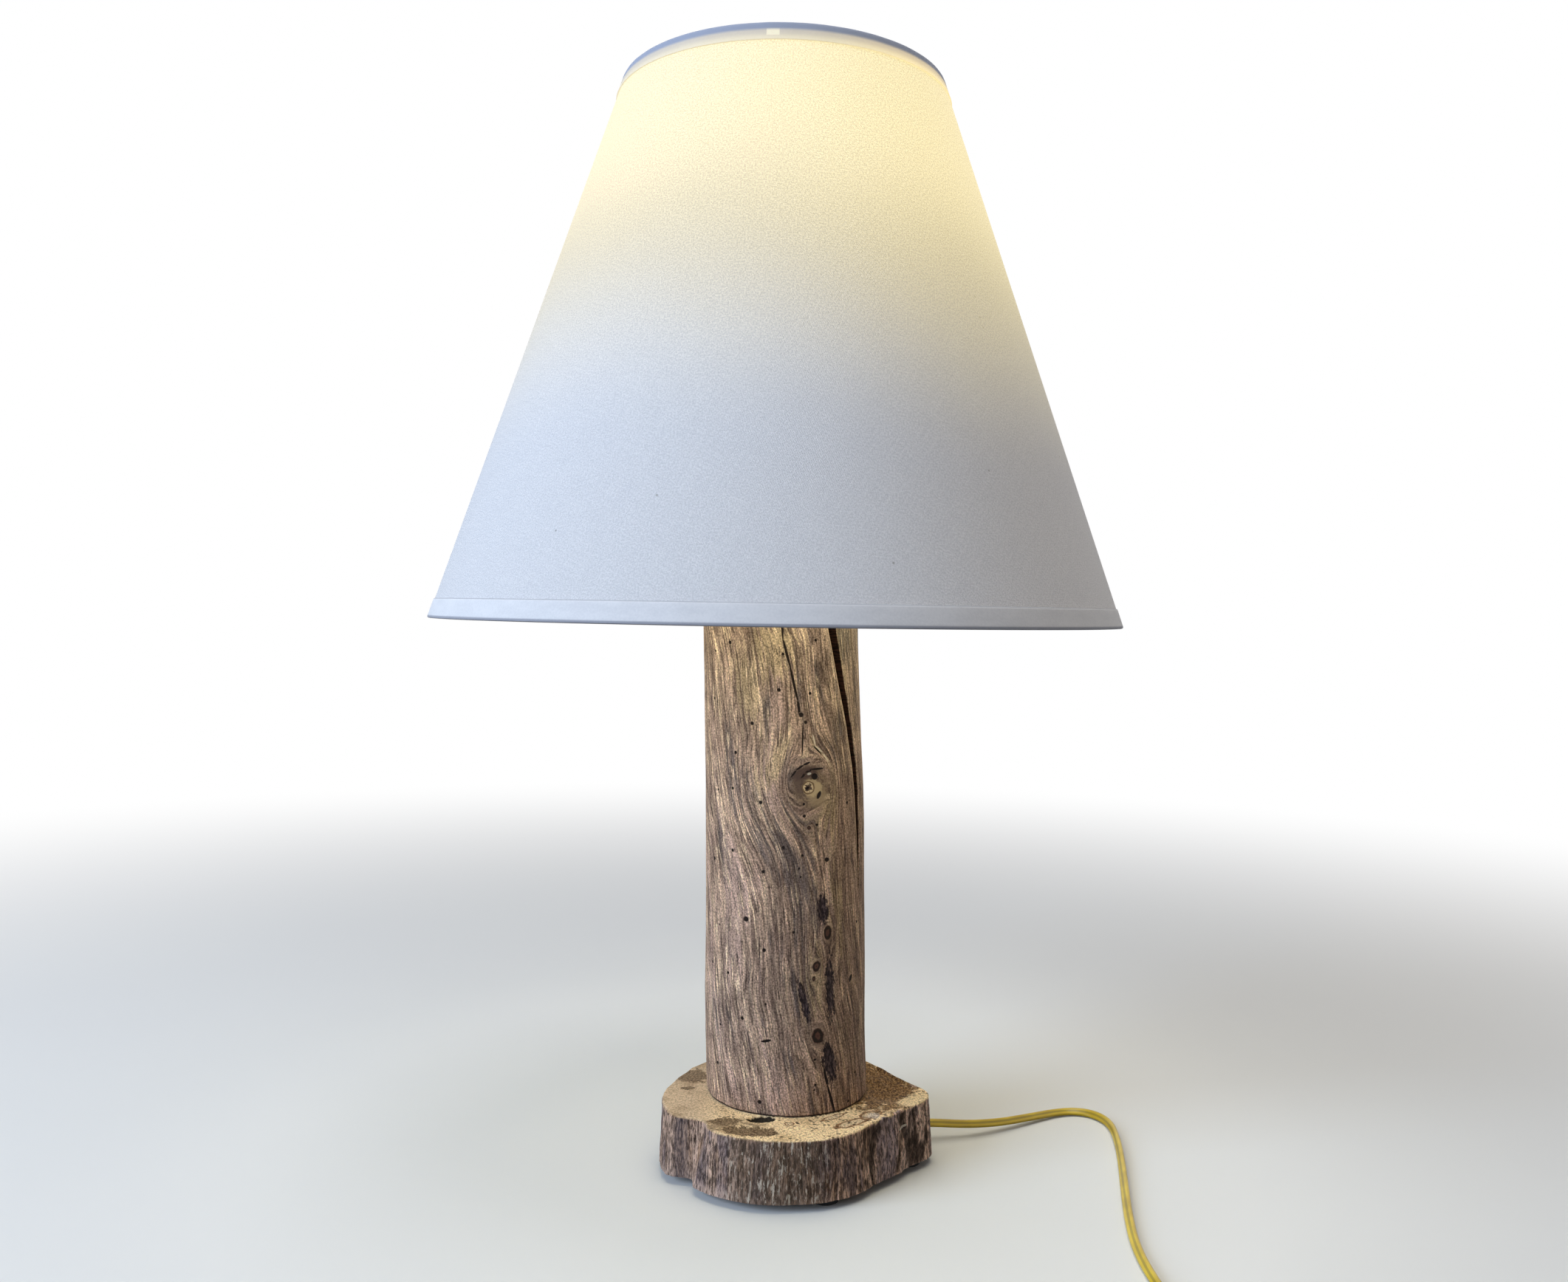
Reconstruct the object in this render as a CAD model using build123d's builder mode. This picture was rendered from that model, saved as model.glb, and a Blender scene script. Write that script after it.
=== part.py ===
from build123d import *
import math
import os

os.makedirs("parts", exist_ok=True)

# A driftwood table lamp with a cone shade. Millimetres, +Z up.
# The origin is on the floor, straight under the shade's axis.

# Clearances between pieces
turning_gap = 0.08
moving_gap = 0.3
slip_gap = 0.1
drill_gap = 0.3

# Base slab and feet
slab_thickness = 35.3
slab_rim_radius = 2.5
slab_outline = [
    (-61.5, -28), (-55, -46), (-39.5, -53), (-34.6, -66), (-19.3, -76), (2.9, -81), (28.4, -79),
    (47.2, -68.8), (62.1, -51.5), (83, -31), (96, -17), (97.5, -4), (88, 10), (77.4, 26.5), (64, 46),
    (45, 61), (20, 66), (-8, 61), (-30, 50), (-46, 33), (-57, 8), (-61.8, -12),
]
foot_height = 5
foot_top_radius = 9
foot_floor_radius = 8
foot_places = {"left": (-44, -26), "front": (33, -63), "right": (84, -12), "back": (-18, 44)}
recess_diameter = 42
recess_depth = 26
spot_face_gap = 1
spot_face_run = 30

# Driftwood post: sideways lean of its middle and its radius, at even steps from foot to top
post_height = 372.7
post_sections = [(11.4, 48.4), (9, 48.8), (8.1, 48), (6.9, 47.7), (4.2, 46.9), (2, 46.5), (0, 46)]
split_facing = -38
split_depth = 17
split_outline = [
    (-17, 378), (-9.5, 378), (-9.8, 270), (-3.8, 228), (3.6, 196), (7, 163), (10.2, 128),
    (5.2, 163), (0.6, 196), (-7.2, 228), (-13.8, 270),
]

# Threaded pipe with its nuts and washer
pipe_diameter = 10.2
pipe_bore = 7
pipe_tail = 2
pipe_holder_lap = 2
nut_across_flats = 16
nut_thickness = 5
nut_chamfer = 0.6
washer_diameter = 32
washer_thickness = 1.6

# Brass cap and neck on the post
cap_diameter = 64
cap_height = 6.5
cap_wall = 1.2
cap_flat_radius = 12
cap_shoulder_radius = 21.8
cap_shoulder_height = 4
neck_height = 11.5
neck_lip = 2
neck_radius = 9
neck_waist_radius = 7

# Harp and its saddle
saddle_thickness = 1.6
saddle_width = 13
saddle_half_span = 28.5
saddle_arm_height = 16
saddle_arm_width = 9.1
harp_pin_height = 6
harp_wire_diameter = 3.2
harp_height = 184
harp_half_width = 55
harp_half_top = 20
harp_leg_straight = 24
harp_flare_rise = 56
harp_shoulder_rise = 118
harp_bend_radius = 17
harp_eye_radius = 6
harp_eye_height = 3.2
sleeve_length = 12
sleeve_wall = 1.1
stud_shaft_radius = 2
stud_head_radius = 3.6
stud_head_height = 1.2
stud_seat_radius = 6.5
stud_seat_height = 1.8
stud_thread_radius = 3.1
stud_thread_height = 13

# Lamp holder
holder_radius = 17.2
holder_wall = 0.8
holder_hub_radius = 8.5
holder_hub_height = 5.5
holder_shoulder_rise = 12
holder_cap_height = 20
holder_shell_lap = 7
shell_wall = 0.5
shell_height = 45
shell_bead_height = 2
insulator_wall = 0.7
insulator_step = 1
body_radius = 13.8
body_height = 18
body_flat = 10.8
body_seat_height = 1
contact_radius = 3.5
contact_height = 2.2
contact_chamfer = 0.8
terminal_head_radius = 2.8
terminal_head_height = 1.5
terminal_shank_radius = 1.4
terminal_shank_length = 4
key_shaft_radius = 1.8
key_shaft_depth = 7
key_reach = 25
key_knob_width = 16
key_knob_thickness = 4
key_knob_length = 11
key_hub_radius = 3.6
key_hub_length = 3
key_hole_gap = 1

# Screw thread of holder and bulb
thread_pitch = 3.63
thread_turns = 5
thread_crest_radius = 13.1
thread_depth = 0.75
thread_play = 0.2
screw_shell_wall = 0.35

# Bulb
bulb_tip_radius = 4.4
bulb_tip_height = 1.6
bulb_tip_chamfer = 0.7
bulb_glass_height = 3
bulb_glass_lap = 2
bulb_base_wall = 0.6
bulb_thread_start = 4.6
bulb_housing_height = 33
bulb_housing_foot_radius = 12.6
bulb_housing_skirt = 4
bulb_housing_waist_radius = 17
bulb_housing_waist_rise = 14.9
bulb_housing_radius = 27.6
bulb_globe_radius = 30
bulb_globe_height = 50
bulb_globe_widest_rise = 19
bulb_globe_wall = 1

# Shade
shade_bottom_radius = 203.2
shade_top_radius = 95.85
shade_height = 315.3
fabric_thickness = 0.8
liner_thickness = 0.7
shade_ring_radius = 1.3
spider_drop = 22.8
spider_arm_radius = 1.4
spider_arm_count = 3
spider_washer_radius = 12
spider_washer_thickness = 1.2
spider_weld_lap = 2
trim_thickness = 0.6
top_trim_height = 10
bottom_trim_height = 10.5
bottom_trim_return = 7
finial_radius = 6.5
finial_height = 24
finial_foot_height = 2
finial_taper_rise = 4.5
finial_neck_radius = 4
finial_neck_rise = 10
finial_widest_rise = 16
finial_bore_relief = 1

# Lead
cord_width = 5.2
cord_thickness = 2.7
lead_height = 12
lead_heading = 11
lead_bend_radius = 8.5
lead_channel_diameter = 9
bushing_seat_reach = 83
bushing_flange_radius = 6.5
bushing_flange_thickness = 2.5
bushing_length = 14
bushing_bore = 6
cord_route = [
    (103, 20, 12), (124, 23.5, 10.4), (147, 32.5, 8), (170, 47.5, 4.8), (191, 62, 2.8),
    (205.5, 62.8, 2.7), (217.4, 54.9, 2.7), (223.1, 41.7, 2.7), (219.5, 18, 2.7), (211, -12, 2.7),
    (203.5, -45, 2.7), (197, -80, 2.7), (193, -116, 2.7), (193.5, -150, 2.7), (197.5, -188, 3.5),
]
coil_centre_y = -218
coil_half_turns_in = 8
coil_half_turns_out = 6
coil_pitch = 5.8
coil_layer_rise = 5.8
coil_outer_radius = 41
tie_thickness = 0.8
tie_width = 8
tie_play = 1
tie_corner_radius = 1.5
tail_length = 34
plug_length = 24
plug_width = 21
plug_thickness = 14
plug_corner_radius = 3
plug_relief_length = 12
plug_relief_radius = 5
plug_relief_wall = 0.8
plug_edge_radius = 1
blade_length = 17.5
blade_width = 6.35
blade_thickness = 1.5
blade_spacing = 12.7

# Heights up the lamp
slab_top = foot_height + slab_thickness
post_top = slab_top + post_height
recess_roof = foot_height + recess_depth
pipe_radius = pipe_diameter / 2
pipe_bottom = recess_roof - washer_thickness - nut_thickness - pipe_tail
neck_bottom = post_top + cap_height
saddle_bottom = neck_bottom + neck_height
saddle_top = saddle_bottom + saddle_thickness
holder_bottom = saddle_top + nut_thickness
pipe_top = holder_bottom + holder_hub_height + pipe_holder_lap
shell_bottom = holder_bottom + holder_cap_height - holder_shell_lap
body_bottom = shell_bottom + body_seat_height
body_top = body_bottom + body_height
key_height = body_bottom + body_height / 2
contact_top = body_top + contact_height
bulb_bottom = contact_top + moving_gap
bulb_thread_bottom = bulb_bottom + bulb_thread_start
bulb_thread_top = bulb_thread_bottom + thread_turns * thread_pitch
globe_bottom = bulb_thread_top + bulb_housing_height
wire_radius = harp_wire_diameter / 2
arm_top = saddle_top + saddle_arm_height
wire_bottom = arm_top + harp_pin_height
eye_top = saddle_bottom + harp_height
wire_top = eye_top - harp_eye_height / 2
seat_top = eye_top + moving_gap + stud_seat_height
washer_bottom = seat_top + moving_gap
shade_top = washer_bottom + spider_drop
shade_bottom = shade_top - shade_height
top_ring_height = shade_top - shade_ring_radius - slip_gap
bottom_ring_height = shade_bottom + shade_ring_radius + slip_gap
shade_slope = (shade_bottom_radius - shade_top_radius) / shade_height
wall_thickness = fabric_thickness + liner_thickness


def wall_radius(height):
    """Outer radius of the shade's cloth at a height."""
    return shade_bottom_radius - (height - shade_bottom) * shade_slope


def ring_centre(height):
    """Radius of a rim wire's centre that lies inside the liner at a height."""
    lean = math.hypot(1, shade_slope)
    return wall_radius(height) - wall_thickness - (shade_ring_radius + slip_gap) * lean


def save(part, name):
    """Label a finished piece and write it under its own name."""
    part.label = name
    export_step(part, f"parts/{name}.step")


# Base slab: a slice of a branch with its live edge
heading = Vector(math.cos(math.radians(lead_heading)), math.sin(math.radians(lead_heading)), 0)
channel_plane = Plane(origin=heading * bushing_seat_reach + Vector(0, 0, lead_height), z_dir=heading)
with BuildPart() as base_slab:
    with BuildSketch(Plane.XY.offset(foot_height)):
        with BuildLine():
            Spline(*slab_outline, periodic=True)
        make_face()
    extrude(amount=slab_thickness)
    fillet(base_slab.edges().group_by(Axis.Z)[-1], slab_rim_radius)
    with BuildSketch(Plane.XY.offset(foot_height)):
        Circle(recess_diameter / 2)
    extrude(amount=recess_depth, mode=Mode.SUBTRACT)
    with BuildSketch(Plane.XY.offset(foot_height)):
        Circle(pipe_radius + drill_gap)
    extrude(amount=slab_thickness, mode=Mode.SUBTRACT)
    with BuildSketch(channel_plane):
        Circle(lead_channel_diameter / 2)
    extrude(amount=-bushing_seat_reach + recess_diameter / 4, mode=Mode.SUBTRACT)
    with BuildSketch(channel_plane):
        Circle(bushing_flange_radius + spot_face_gap)
    extrude(amount=spot_face_run, mode=Mode.SUBTRACT)
save(base_slab.part, "base_slab")

# Rubber feet stuck to the slab's underside
for place, (foot_x, foot_y) in foot_places.items():
    with BuildPart() as rubber_foot:
        with BuildSketch(Plane.XY):
            with Locations((foot_x, foot_y)):
                Circle(foot_floor_radius)
        with BuildSketch(Plane.XY.offset(foot_height)):
            with Locations((foot_x, foot_y)):
                Circle(foot_top_radius)
        loft()
    save(rubber_foot.part, f"rubber_foot_{place}")

# Driftwood post: a loft through its measured sections, with its deep split and the bore for the pipe
split_plane = Plane(
    origin=(post_sections[3][0], 0, slab_top),
    x_dir=(-math.sin(math.radians(split_facing)), math.cos(math.radians(split_facing)), 0),
    z_dir=(math.cos(math.radians(split_facing)), math.sin(math.radians(split_facing)), 0),
)
with BuildPart() as driftwood_post:
    for step, (lean, radius) in enumerate(post_sections):
        with BuildSketch(Plane.XY.offset(slab_top + post_height * step / (len(post_sections) - 1))):
            with Locations((lean, 0)):
                Circle(radius)
    loft()
    with BuildSketch(Plane.XY.offset(slab_top)):
        Circle(pipe_radius + drill_gap)
    extrude(amount=post_height, mode=Mode.SUBTRACT)
    with BuildSketch(split_plane.offset(post_sections[0][1] - split_depth)):
        with BuildLine():
            Polyline(*split_outline, close=True)
        make_face()
    extrude(amount=2 * split_depth, mode=Mode.SUBTRACT)
save(driftwood_post.part, "driftwood_post")

# Threaded pipe through slab and post
with BuildPart() as lamp_pipe:
    with BuildSketch(Plane.XY.offset(pipe_bottom)):
        Circle(pipe_radius)
        Circle(pipe_bore / 2, mode=Mode.SUBTRACT)
    extrude(amount=pipe_top - pipe_bottom)
save(lamp_pipe.part, "lamp_pipe")

# Washer under the slab's recess roof
with BuildPart() as bottom_washer:
    with BuildSketch(Plane.XY.offset(recess_roof - washer_thickness)):
        Circle(washer_diameter / 2)
        Circle(pipe_radius, mode=Mode.SUBTRACT)
    extrude(amount=washer_thickness)
save(bottom_washer.part, "bottom_washer")


def pipe_nut(name, bottom):
    """A hexagon nut on the pipe."""
    with BuildPart() as nut:
        with BuildSketch(Plane.XY.offset(bottom)):
            RegularPolygon(nut_across_flats / 2, 6, major_radius=False)
            Circle(pipe_radius, mode=Mode.SUBTRACT)
        extrude(amount=nut_thickness)
        rims = nut.edges().filter_by(GeomType.LINE).filter_by(Plane.XY)
        chamfer(rims, nut_chamfer)
    save(nut.part, name)


pipe_nut("bottom_nut", recess_roof - washer_thickness - nut_thickness)
pipe_nut("top_nut", saddle_top)

# Spun brass cap that hides the post's bore
with BuildPart() as post_cap:
    with BuildSketch(Plane.XZ):
        with BuildLine():
            outer = Spline(
                (cap_diameter / 2, post_top + cap_wall),
                (cap_shoulder_radius, post_top + cap_shoulder_height),
                (cap_flat_radius, post_top + cap_height),
                tangents=[(-1, 0.6), (-1, 0)],
            )
            Polyline(outer @ 1, (pipe_radius + slip_gap, post_top + cap_height),
                     (pipe_radius + slip_gap, post_top + cap_height - cap_wall),
                     (cap_flat_radius, post_top + cap_height - cap_wall))
            Spline(
                (cap_flat_radius, post_top + cap_height - cap_wall),
                (cap_shoulder_radius, post_top + cap_shoulder_height - cap_wall),
                (cap_diameter / 2 - cap_wall, post_top),
                tangents=[(1, 0), (1, -0.6)],
            )
            Polyline((cap_diameter / 2 - cap_wall, post_top), (cap_diameter / 2, post_top), outer @ 0)
        make_face()
    revolve(axis=Axis.Z)
save(post_cap.part, "post_cap")

# Turned brass neck between the cap and the saddle
with BuildPart() as pipe_neck:
    with BuildSketch(Plane.XZ):
        with BuildLine():
            waist = ThreePointArc(
                (neck_radius, neck_bottom + neck_lip),
                (neck_waist_radius, neck_bottom + neck_height / 2),
                (neck_radius, saddle_bottom - neck_lip),
            )
            Polyline(waist @ 1, (neck_radius, saddle_bottom), (pipe_radius + slip_gap, saddle_bottom),
                     (pipe_radius + slip_gap, neck_bottom), (neck_radius, neck_bottom), waist @ 0)
        make_face()
    revolve(axis=Axis.Z)
save(pipe_neck.part, "pipe_neck")

# Harp saddle: a bent strip whose arms end in round pins
with BuildPart() as harp_saddle:
    with BuildSketch(Plane.XY.offset(saddle_bottom)):
        Rectangle(2 * saddle_half_span + harp_wire_diameter, saddle_width)
        Circle(pipe_radius + slip_gap, mode=Mode.SUBTRACT)
    extrude(amount=saddle_thickness)
    for side in (-1, 1):
        with BuildSketch(Plane.XY.offset(saddle_bottom)):
            with Locations((side * saddle_half_span, 0)):
                Rectangle(harp_wire_diameter, saddle_arm_width)
        extrude(amount=saddle_thickness + saddle_arm_height)
        with BuildSketch(Plane.XY.offset(arm_top)):
            with Locations((side * saddle_half_span, 0)):
                Circle(wire_radius)
        extrude(amount=harp_pin_height)
save(harp_saddle.part, "harp_saddle")

# Harp: one bent wire with a flat eye at its top
with BuildPart() as harp_wire:
    with BuildLine(Plane.XZ) as harp_path:
        FilletPolyline(
            (-saddle_half_span, wire_bottom),
            (-saddle_half_span, wire_bottom + harp_leg_straight),
            (-harp_half_width, wire_bottom + harp_flare_rise),
            (-harp_half_width, wire_bottom + harp_shoulder_rise),
            (-harp_half_top, wire_top),
            (harp_half_top, wire_top),
            (harp_half_width, wire_bottom + harp_shoulder_rise),
            (harp_half_width, wire_bottom + harp_flare_rise),
            (saddle_half_span, wire_bottom + harp_leg_straight),
            (saddle_half_span, wire_bottom),
            radius=harp_bend_radius,
        )
    with BuildSketch(Plane.XY.offset(wire_bottom)):
        with Locations((-saddle_half_span, 0)):
            Circle(wire_radius)
    sweep()
    with BuildSketch(Plane.XY.offset(eye_top - harp_eye_height)):
        Circle(harp_eye_radius)
    extrude(amount=harp_eye_height)
    with BuildSketch(Plane.XY.offset(eye_top)):
        Circle(stud_shaft_radius + turning_gap)
    extrude(amount=-harp_eye_height, mode=Mode.SUBTRACT)
save(harp_wire.part, "harp_wire")

# Sleeves that lock the harp's feet on the saddle's pins
for side, name in ((-1, "left"), (1, "right")):
    with BuildPart() as harp_sleeve:
        with BuildSketch(Plane.XY.offset(arm_top + moving_gap)):
            with Locations((side * saddle_half_span, 0)):
                Circle(wire_radius + turning_gap + sleeve_wall)
                Circle(wire_radius + turning_gap, mode=Mode.SUBTRACT)
        extrude(amount=sleeve_length)
    save(harp_sleeve.part, f"harp_sleeve_{name}")

# Stud that turns in the harp's eye and carries the shade
with BuildPart() as harp_stud:
    with BuildSketch(Plane.XZ):
        with BuildLine():
            Polyline(
                (0, eye_top - harp_eye_height - moving_gap - stud_head_height),
                (stud_head_radius, eye_top - harp_eye_height - moving_gap - stud_head_height),
                (stud_head_radius, eye_top - harp_eye_height - moving_gap),
                (stud_shaft_radius, eye_top - harp_eye_height - moving_gap),
                (stud_shaft_radius, eye_top + moving_gap),
                (stud_seat_radius, eye_top + moving_gap),
                (stud_seat_radius, seat_top),
                (stud_thread_radius, seat_top),
                (stud_thread_radius, seat_top + stud_thread_height),
                (0, seat_top + stud_thread_height),
                close=True,
            )
        make_face()
    revolve(axis=Axis.Z)
save(harp_stud.part, "harp_stud")

# Lamp holder's cap: a brass cup screwed on the pipe, cut out where the switch key passes
key_plane = Plane(origin=(0, 0, key_height), z_dir=(0, -1, 0))
with BuildPart() as socket_cap:
    with BuildSketch(Plane.XZ):
        with BuildLine():
            Polyline(
                (pipe_radius, holder_bottom),
                (holder_hub_radius, holder_bottom),
                (holder_hub_radius, holder_bottom + holder_hub_height - holder_wall),
                (holder_radius, holder_bottom + holder_shoulder_rise),
                (holder_radius, holder_bottom + holder_cap_height),
                (holder_radius - holder_wall, holder_bottom + holder_cap_height),
                (holder_radius - holder_wall, holder_bottom + holder_shoulder_rise + holder_wall / 2),
                (holder_hub_radius - holder_wall, holder_bottom + holder_hub_height),
                (pipe_radius, holder_bottom + holder_hub_height),
                close=True,
            )
        make_face()
    revolve(axis=Axis.Z)
    with BuildSketch(key_plane):
        Circle(key_shaft_radius + key_hole_gap)
    extrude(amount=2 * holder_radius, mode=Mode.SUBTRACT)
save(socket_cap.part, "socket_cap")

# Lamp holder's shell, with the hole for the switch key
shell_radius = holder_radius - holder_wall - slip_gap
shell_top = shell_bottom + shell_height
with BuildPart() as socket_shell:
    with BuildSketch(Plane.XY.offset(shell_bottom)):
        Circle(shell_radius)
        Circle(shell_radius - shell_wall, mode=Mode.SUBTRACT)
    extrude(amount=shell_height)
    with BuildSketch(Plane.XY.offset(shell_top - shell_bead_height)):
        Circle(shell_radius + shell_wall)
        Circle(shell_radius - shell_wall, mode=Mode.SUBTRACT)
    extrude(amount=shell_bead_height)
    with BuildSketch(key_plane):
        Circle(key_shaft_radius + key_hole_gap)
    extrude(amount=2 * holder_radius, mode=Mode.SUBTRACT)
save(socket_shell.part, "socket_shell")

# Paper sleeve inside the shell
insulator_radius = shell_radius - shell_wall - slip_gap
with BuildPart() as socket_insulator:
    with BuildSketch(Plane.XY.offset(shell_bottom)):
        Circle(insulator_radius)
        Circle(insulator_radius - insulator_wall, mode=Mode.SUBTRACT)
    extrude(amount=shell_height - insulator_step)
    with BuildSketch(key_plane):
        Circle(key_shaft_radius + key_hole_gap)
    extrude(amount=holder_radius, mode=Mode.SUBTRACT)
save(socket_insulator.part, "socket_insulator")

# Moulded body with two flats for the terminal screws and the bore of the switch key
with BuildPart() as socket_body:
    with BuildSketch(Plane.XY.offset(body_bottom)):
        Circle(body_radius)
        Rectangle(2 * body_flat, 2 * body_radius, mode=Mode.INTERSECT)
    extrude(amount=body_height)
    with BuildSketch(key_plane):
        Circle(key_shaft_radius + turning_gap)
    extrude(amount=body_radius, mode=Mode.SUBTRACT)
    with BuildSketch(Plane.YZ.offset(-body_flat)):
        with Locations((0, key_height)):
            Circle(terminal_shank_radius)
    extrude(amount=terminal_shank_length, mode=Mode.SUBTRACT)
    with BuildSketch(Plane.YZ.offset(body_flat)):
        with Locations((0, key_height)):
            Circle(terminal_shank_radius)
    extrude(amount=-terminal_shank_length, mode=Mode.SUBTRACT)
save(socket_body.part, "socket_body")

# Two terminal screws, one on each flat
with BuildPart() as terminal_screws:
    for side in (-1, 1):
        with BuildSketch(Plane.YZ.offset(side * body_flat)):
            with Locations((0, key_height)):
                Circle(terminal_head_radius)
        extrude(amount=side * terminal_head_height)
        with BuildSketch(Plane.YZ.offset(side * body_flat)):
            with Locations((0, key_height)):
                Circle(terminal_shank_radius)
        extrude(amount=-side * terminal_shank_length)
save(terminal_screws.part, "terminal_screws")


def thread_profile(bottom, crest, wall):
    """Outline of a thin threaded shell as rings: out along its outside, back along its inside."""
    outside = []
    for step in range(2 * thread_turns + 1):
        radius = crest if step % 2 else crest - thread_depth
        outside.append((radius, bottom + step * thread_pitch / 2))
    inside = [(radius - wall, height) for radius, height in reversed(outside)]
    return outside + inside


# Threaded shell of the lamp holder
shell_crest = thread_crest_radius + thread_play + screw_shell_wall
with BuildPart() as screw_shell:
    with BuildSketch(Plane.XZ):
        with BuildLine():
            Polyline(*thread_profile(bulb_thread_bottom, shell_crest, screw_shell_wall), close=True)
        make_face()
    revolve(axis=Axis.Z)
    with BuildSketch(Plane.XY.offset(body_top)):
        Circle(shell_crest - thread_depth)
        Circle(shell_crest - thread_depth - screw_shell_wall, mode=Mode.SUBTRACT)
    extrude(amount=bulb_thread_bottom - body_top)
save(screw_shell.part, "screw_shell")

# Centre contact on the body
with BuildPart() as centre_contact:
    with BuildSketch(Plane.XY.offset(body_top)):
        Circle(contact_radius)
    extrude(amount=contact_height)
    chamfer(centre_contact.edges().group_by(Axis.Z)[-1], contact_chamfer)
save(centre_contact.part, "centre_contact")

# Switch key: shaft and flat knob in one moulding
with BuildPart() as switch_knob:
    with BuildSketch(key_plane.offset(body_radius - key_shaft_depth)):
        Circle(key_shaft_radius)
    extrude(amount=key_reach - body_radius + key_shaft_depth)
    with BuildSketch(key_plane.offset(key_reach)):
        Circle(key_hub_radius)
    extrude(amount=key_knob_length)
    with BuildSketch(key_plane.offset(key_reach + key_hub_length)):
        SlotOverall(key_knob_width, key_knob_thickness)
    extrude(amount=key_knob_length - key_hub_length)
save(switch_knob.part, "switch_knob")

# Bulb: contact tip, glass insulator, threaded base, housing and globe
with BuildPart() as bulb_contact:
    with BuildSketch(Plane.XY.offset(bulb_bottom)):
        Circle(bulb_tip_radius)
    extrude(amount=bulb_tip_height)
    chamfer(bulb_contact.edges().group_by(Axis.Z)[0], bulb_tip_chamfer)
save(bulb_contact.part, "bulb_contact")

base_inner_radius = thread_crest_radius - thread_depth - bulb_base_wall
with BuildPart() as bulb_insulator:
    with BuildSketch(Plane.XZ):
        with BuildLine():
            Polyline(
                (0, bulb_bottom + bulb_tip_height),
                (bulb_tip_radius, bulb_bottom + bulb_tip_height),
                (base_inner_radius, bulb_bottom + bulb_tip_height + bulb_glass_height),
                (base_inner_radius, bulb_thread_bottom + bulb_glass_lap),
                (0, bulb_thread_bottom + bulb_glass_lap),
                close=True,
            )
        make_face()
    revolve(axis=Axis.Z)
save(bulb_insulator.part, "bulb_insulator")

with BuildPart() as bulb_screw_base:
    with BuildSketch(Plane.XZ):
        with BuildLine():
            Polyline(*thread_profile(bulb_thread_bottom, thread_crest_radius, bulb_base_wall), close=True)
        make_face()
    revolve(axis=Axis.Z)
save(bulb_screw_base.part, "bulb_screw_base")

with BuildPart() as bulb_housing:
    with BuildSketch(Plane.XZ):
        with BuildLine():
            flare = Spline(
                (bulb_housing_foot_radius, bulb_thread_top + bulb_housing_skirt),
                (bulb_housing_waist_radius, bulb_thread_top + bulb_housing_waist_rise),
                (bulb_housing_radius, globe_bottom),
                tangents=[(0, 1), (0.55, 1)],
            )
            Polyline(flare @ 1, (0, globe_bottom), (0, bulb_thread_top),
                     (bulb_housing_foot_radius, bulb_thread_top), flare @ 0)
        make_face()
    revolve(axis=Axis.Z)
save(bulb_housing.part, "bulb_housing")

with BuildPart() as bulb_globe:
    with BuildSketch(Plane.XZ):
        with BuildLine():
            dome = Spline(
                (bulb_housing_radius, globe_bottom),
                (bulb_globe_radius, globe_bottom + bulb_globe_widest_rise),
                (0, globe_bottom + bulb_globe_height),
                tangents=[(0.4, 1), (-1, 0)],
            )
            inner = Spline(
                (0, globe_bottom + bulb_globe_height - bulb_globe_wall),
                (bulb_globe_radius - bulb_globe_wall, globe_bottom + bulb_globe_widest_rise),
                (bulb_housing_radius - bulb_globe_wall, globe_bottom),
                tangents=[(1, 0), (-0.4, -1)],
            )
            Line(dome @ 1, inner @ 0)
            Line(inner @ 1, dome @ 0)
        make_face()
    revolve(axis=Axis.Z)
save(bulb_globe.part, "bulb_globe")


def cone_wall(outset, thickness):
    """Cross-section of one layer of the shade's wall."""
    return [
        (wall_radius(shade_bottom) - outset, shade_bottom),
        (wall_radius(shade_top) - outset, shade_top),
        (wall_radius(shade_top) - outset - thickness, shade_top),
        (wall_radius(shade_bottom) - outset - thickness, shade_bottom),
    ]


def turned(name, outline):
    """A piece of revolution about the lamp's axis, from its half cross-section."""
    with BuildPart() as piece:
        with BuildSketch(Plane.XZ):
            with BuildLine():
                Polyline(*outline, close=True)
            make_face()
        revolve(axis=Axis.Z)
    save(piece.part, name)


turned("shade_fabric", cone_wall(0, fabric_thickness))
turned("shade_liner", cone_wall(fabric_thickness, liner_thickness))

# Top trim: tape down the outside and over the rim wire
top_trim_foot = shade_top - top_trim_height
top_cover = ring_centre(top_ring_height) - shade_ring_radius
trim_outset = slip_gap + trim_thickness
turned("shade_top_trim", [
    (wall_radius(top_trim_foot) + slip_gap, top_trim_foot),
    (wall_radius(top_trim_foot) + trim_outset, top_trim_foot),
    (wall_radius(shade_top) + trim_outset, shade_top + trim_thickness),
    (top_cover, shade_top + trim_thickness),
    (top_cover, shade_top),
    (wall_radius(shade_top) + slip_gap, shade_top),
])

# Bottom trim: tape down the outside, under the rim wire and up inside it
bottom_trim_head = shade_bottom + bottom_trim_height
return_head = shade_bottom + bottom_trim_return
return_radius = ring_centre(bottom_ring_height) - shade_ring_radius - slip_gap
turned("shade_bottom_trim", [
    (wall_radius(bottom_trim_head) + slip_gap, bottom_trim_head),
    (wall_radius(shade_bottom) + slip_gap, shade_bottom),
    (return_radius, shade_bottom),
    (return_radius - bottom_trim_return * shade_slope, return_head),
    (return_radius - bottom_trim_return * shade_slope - trim_thickness, return_head),
    (return_radius - trim_thickness, shade_bottom - trim_thickness),
    (wall_radius(shade_bottom) + trim_outset, shade_bottom - trim_thickness),
    (wall_radius(bottom_trim_head) + trim_outset, bottom_trim_head),
])

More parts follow.
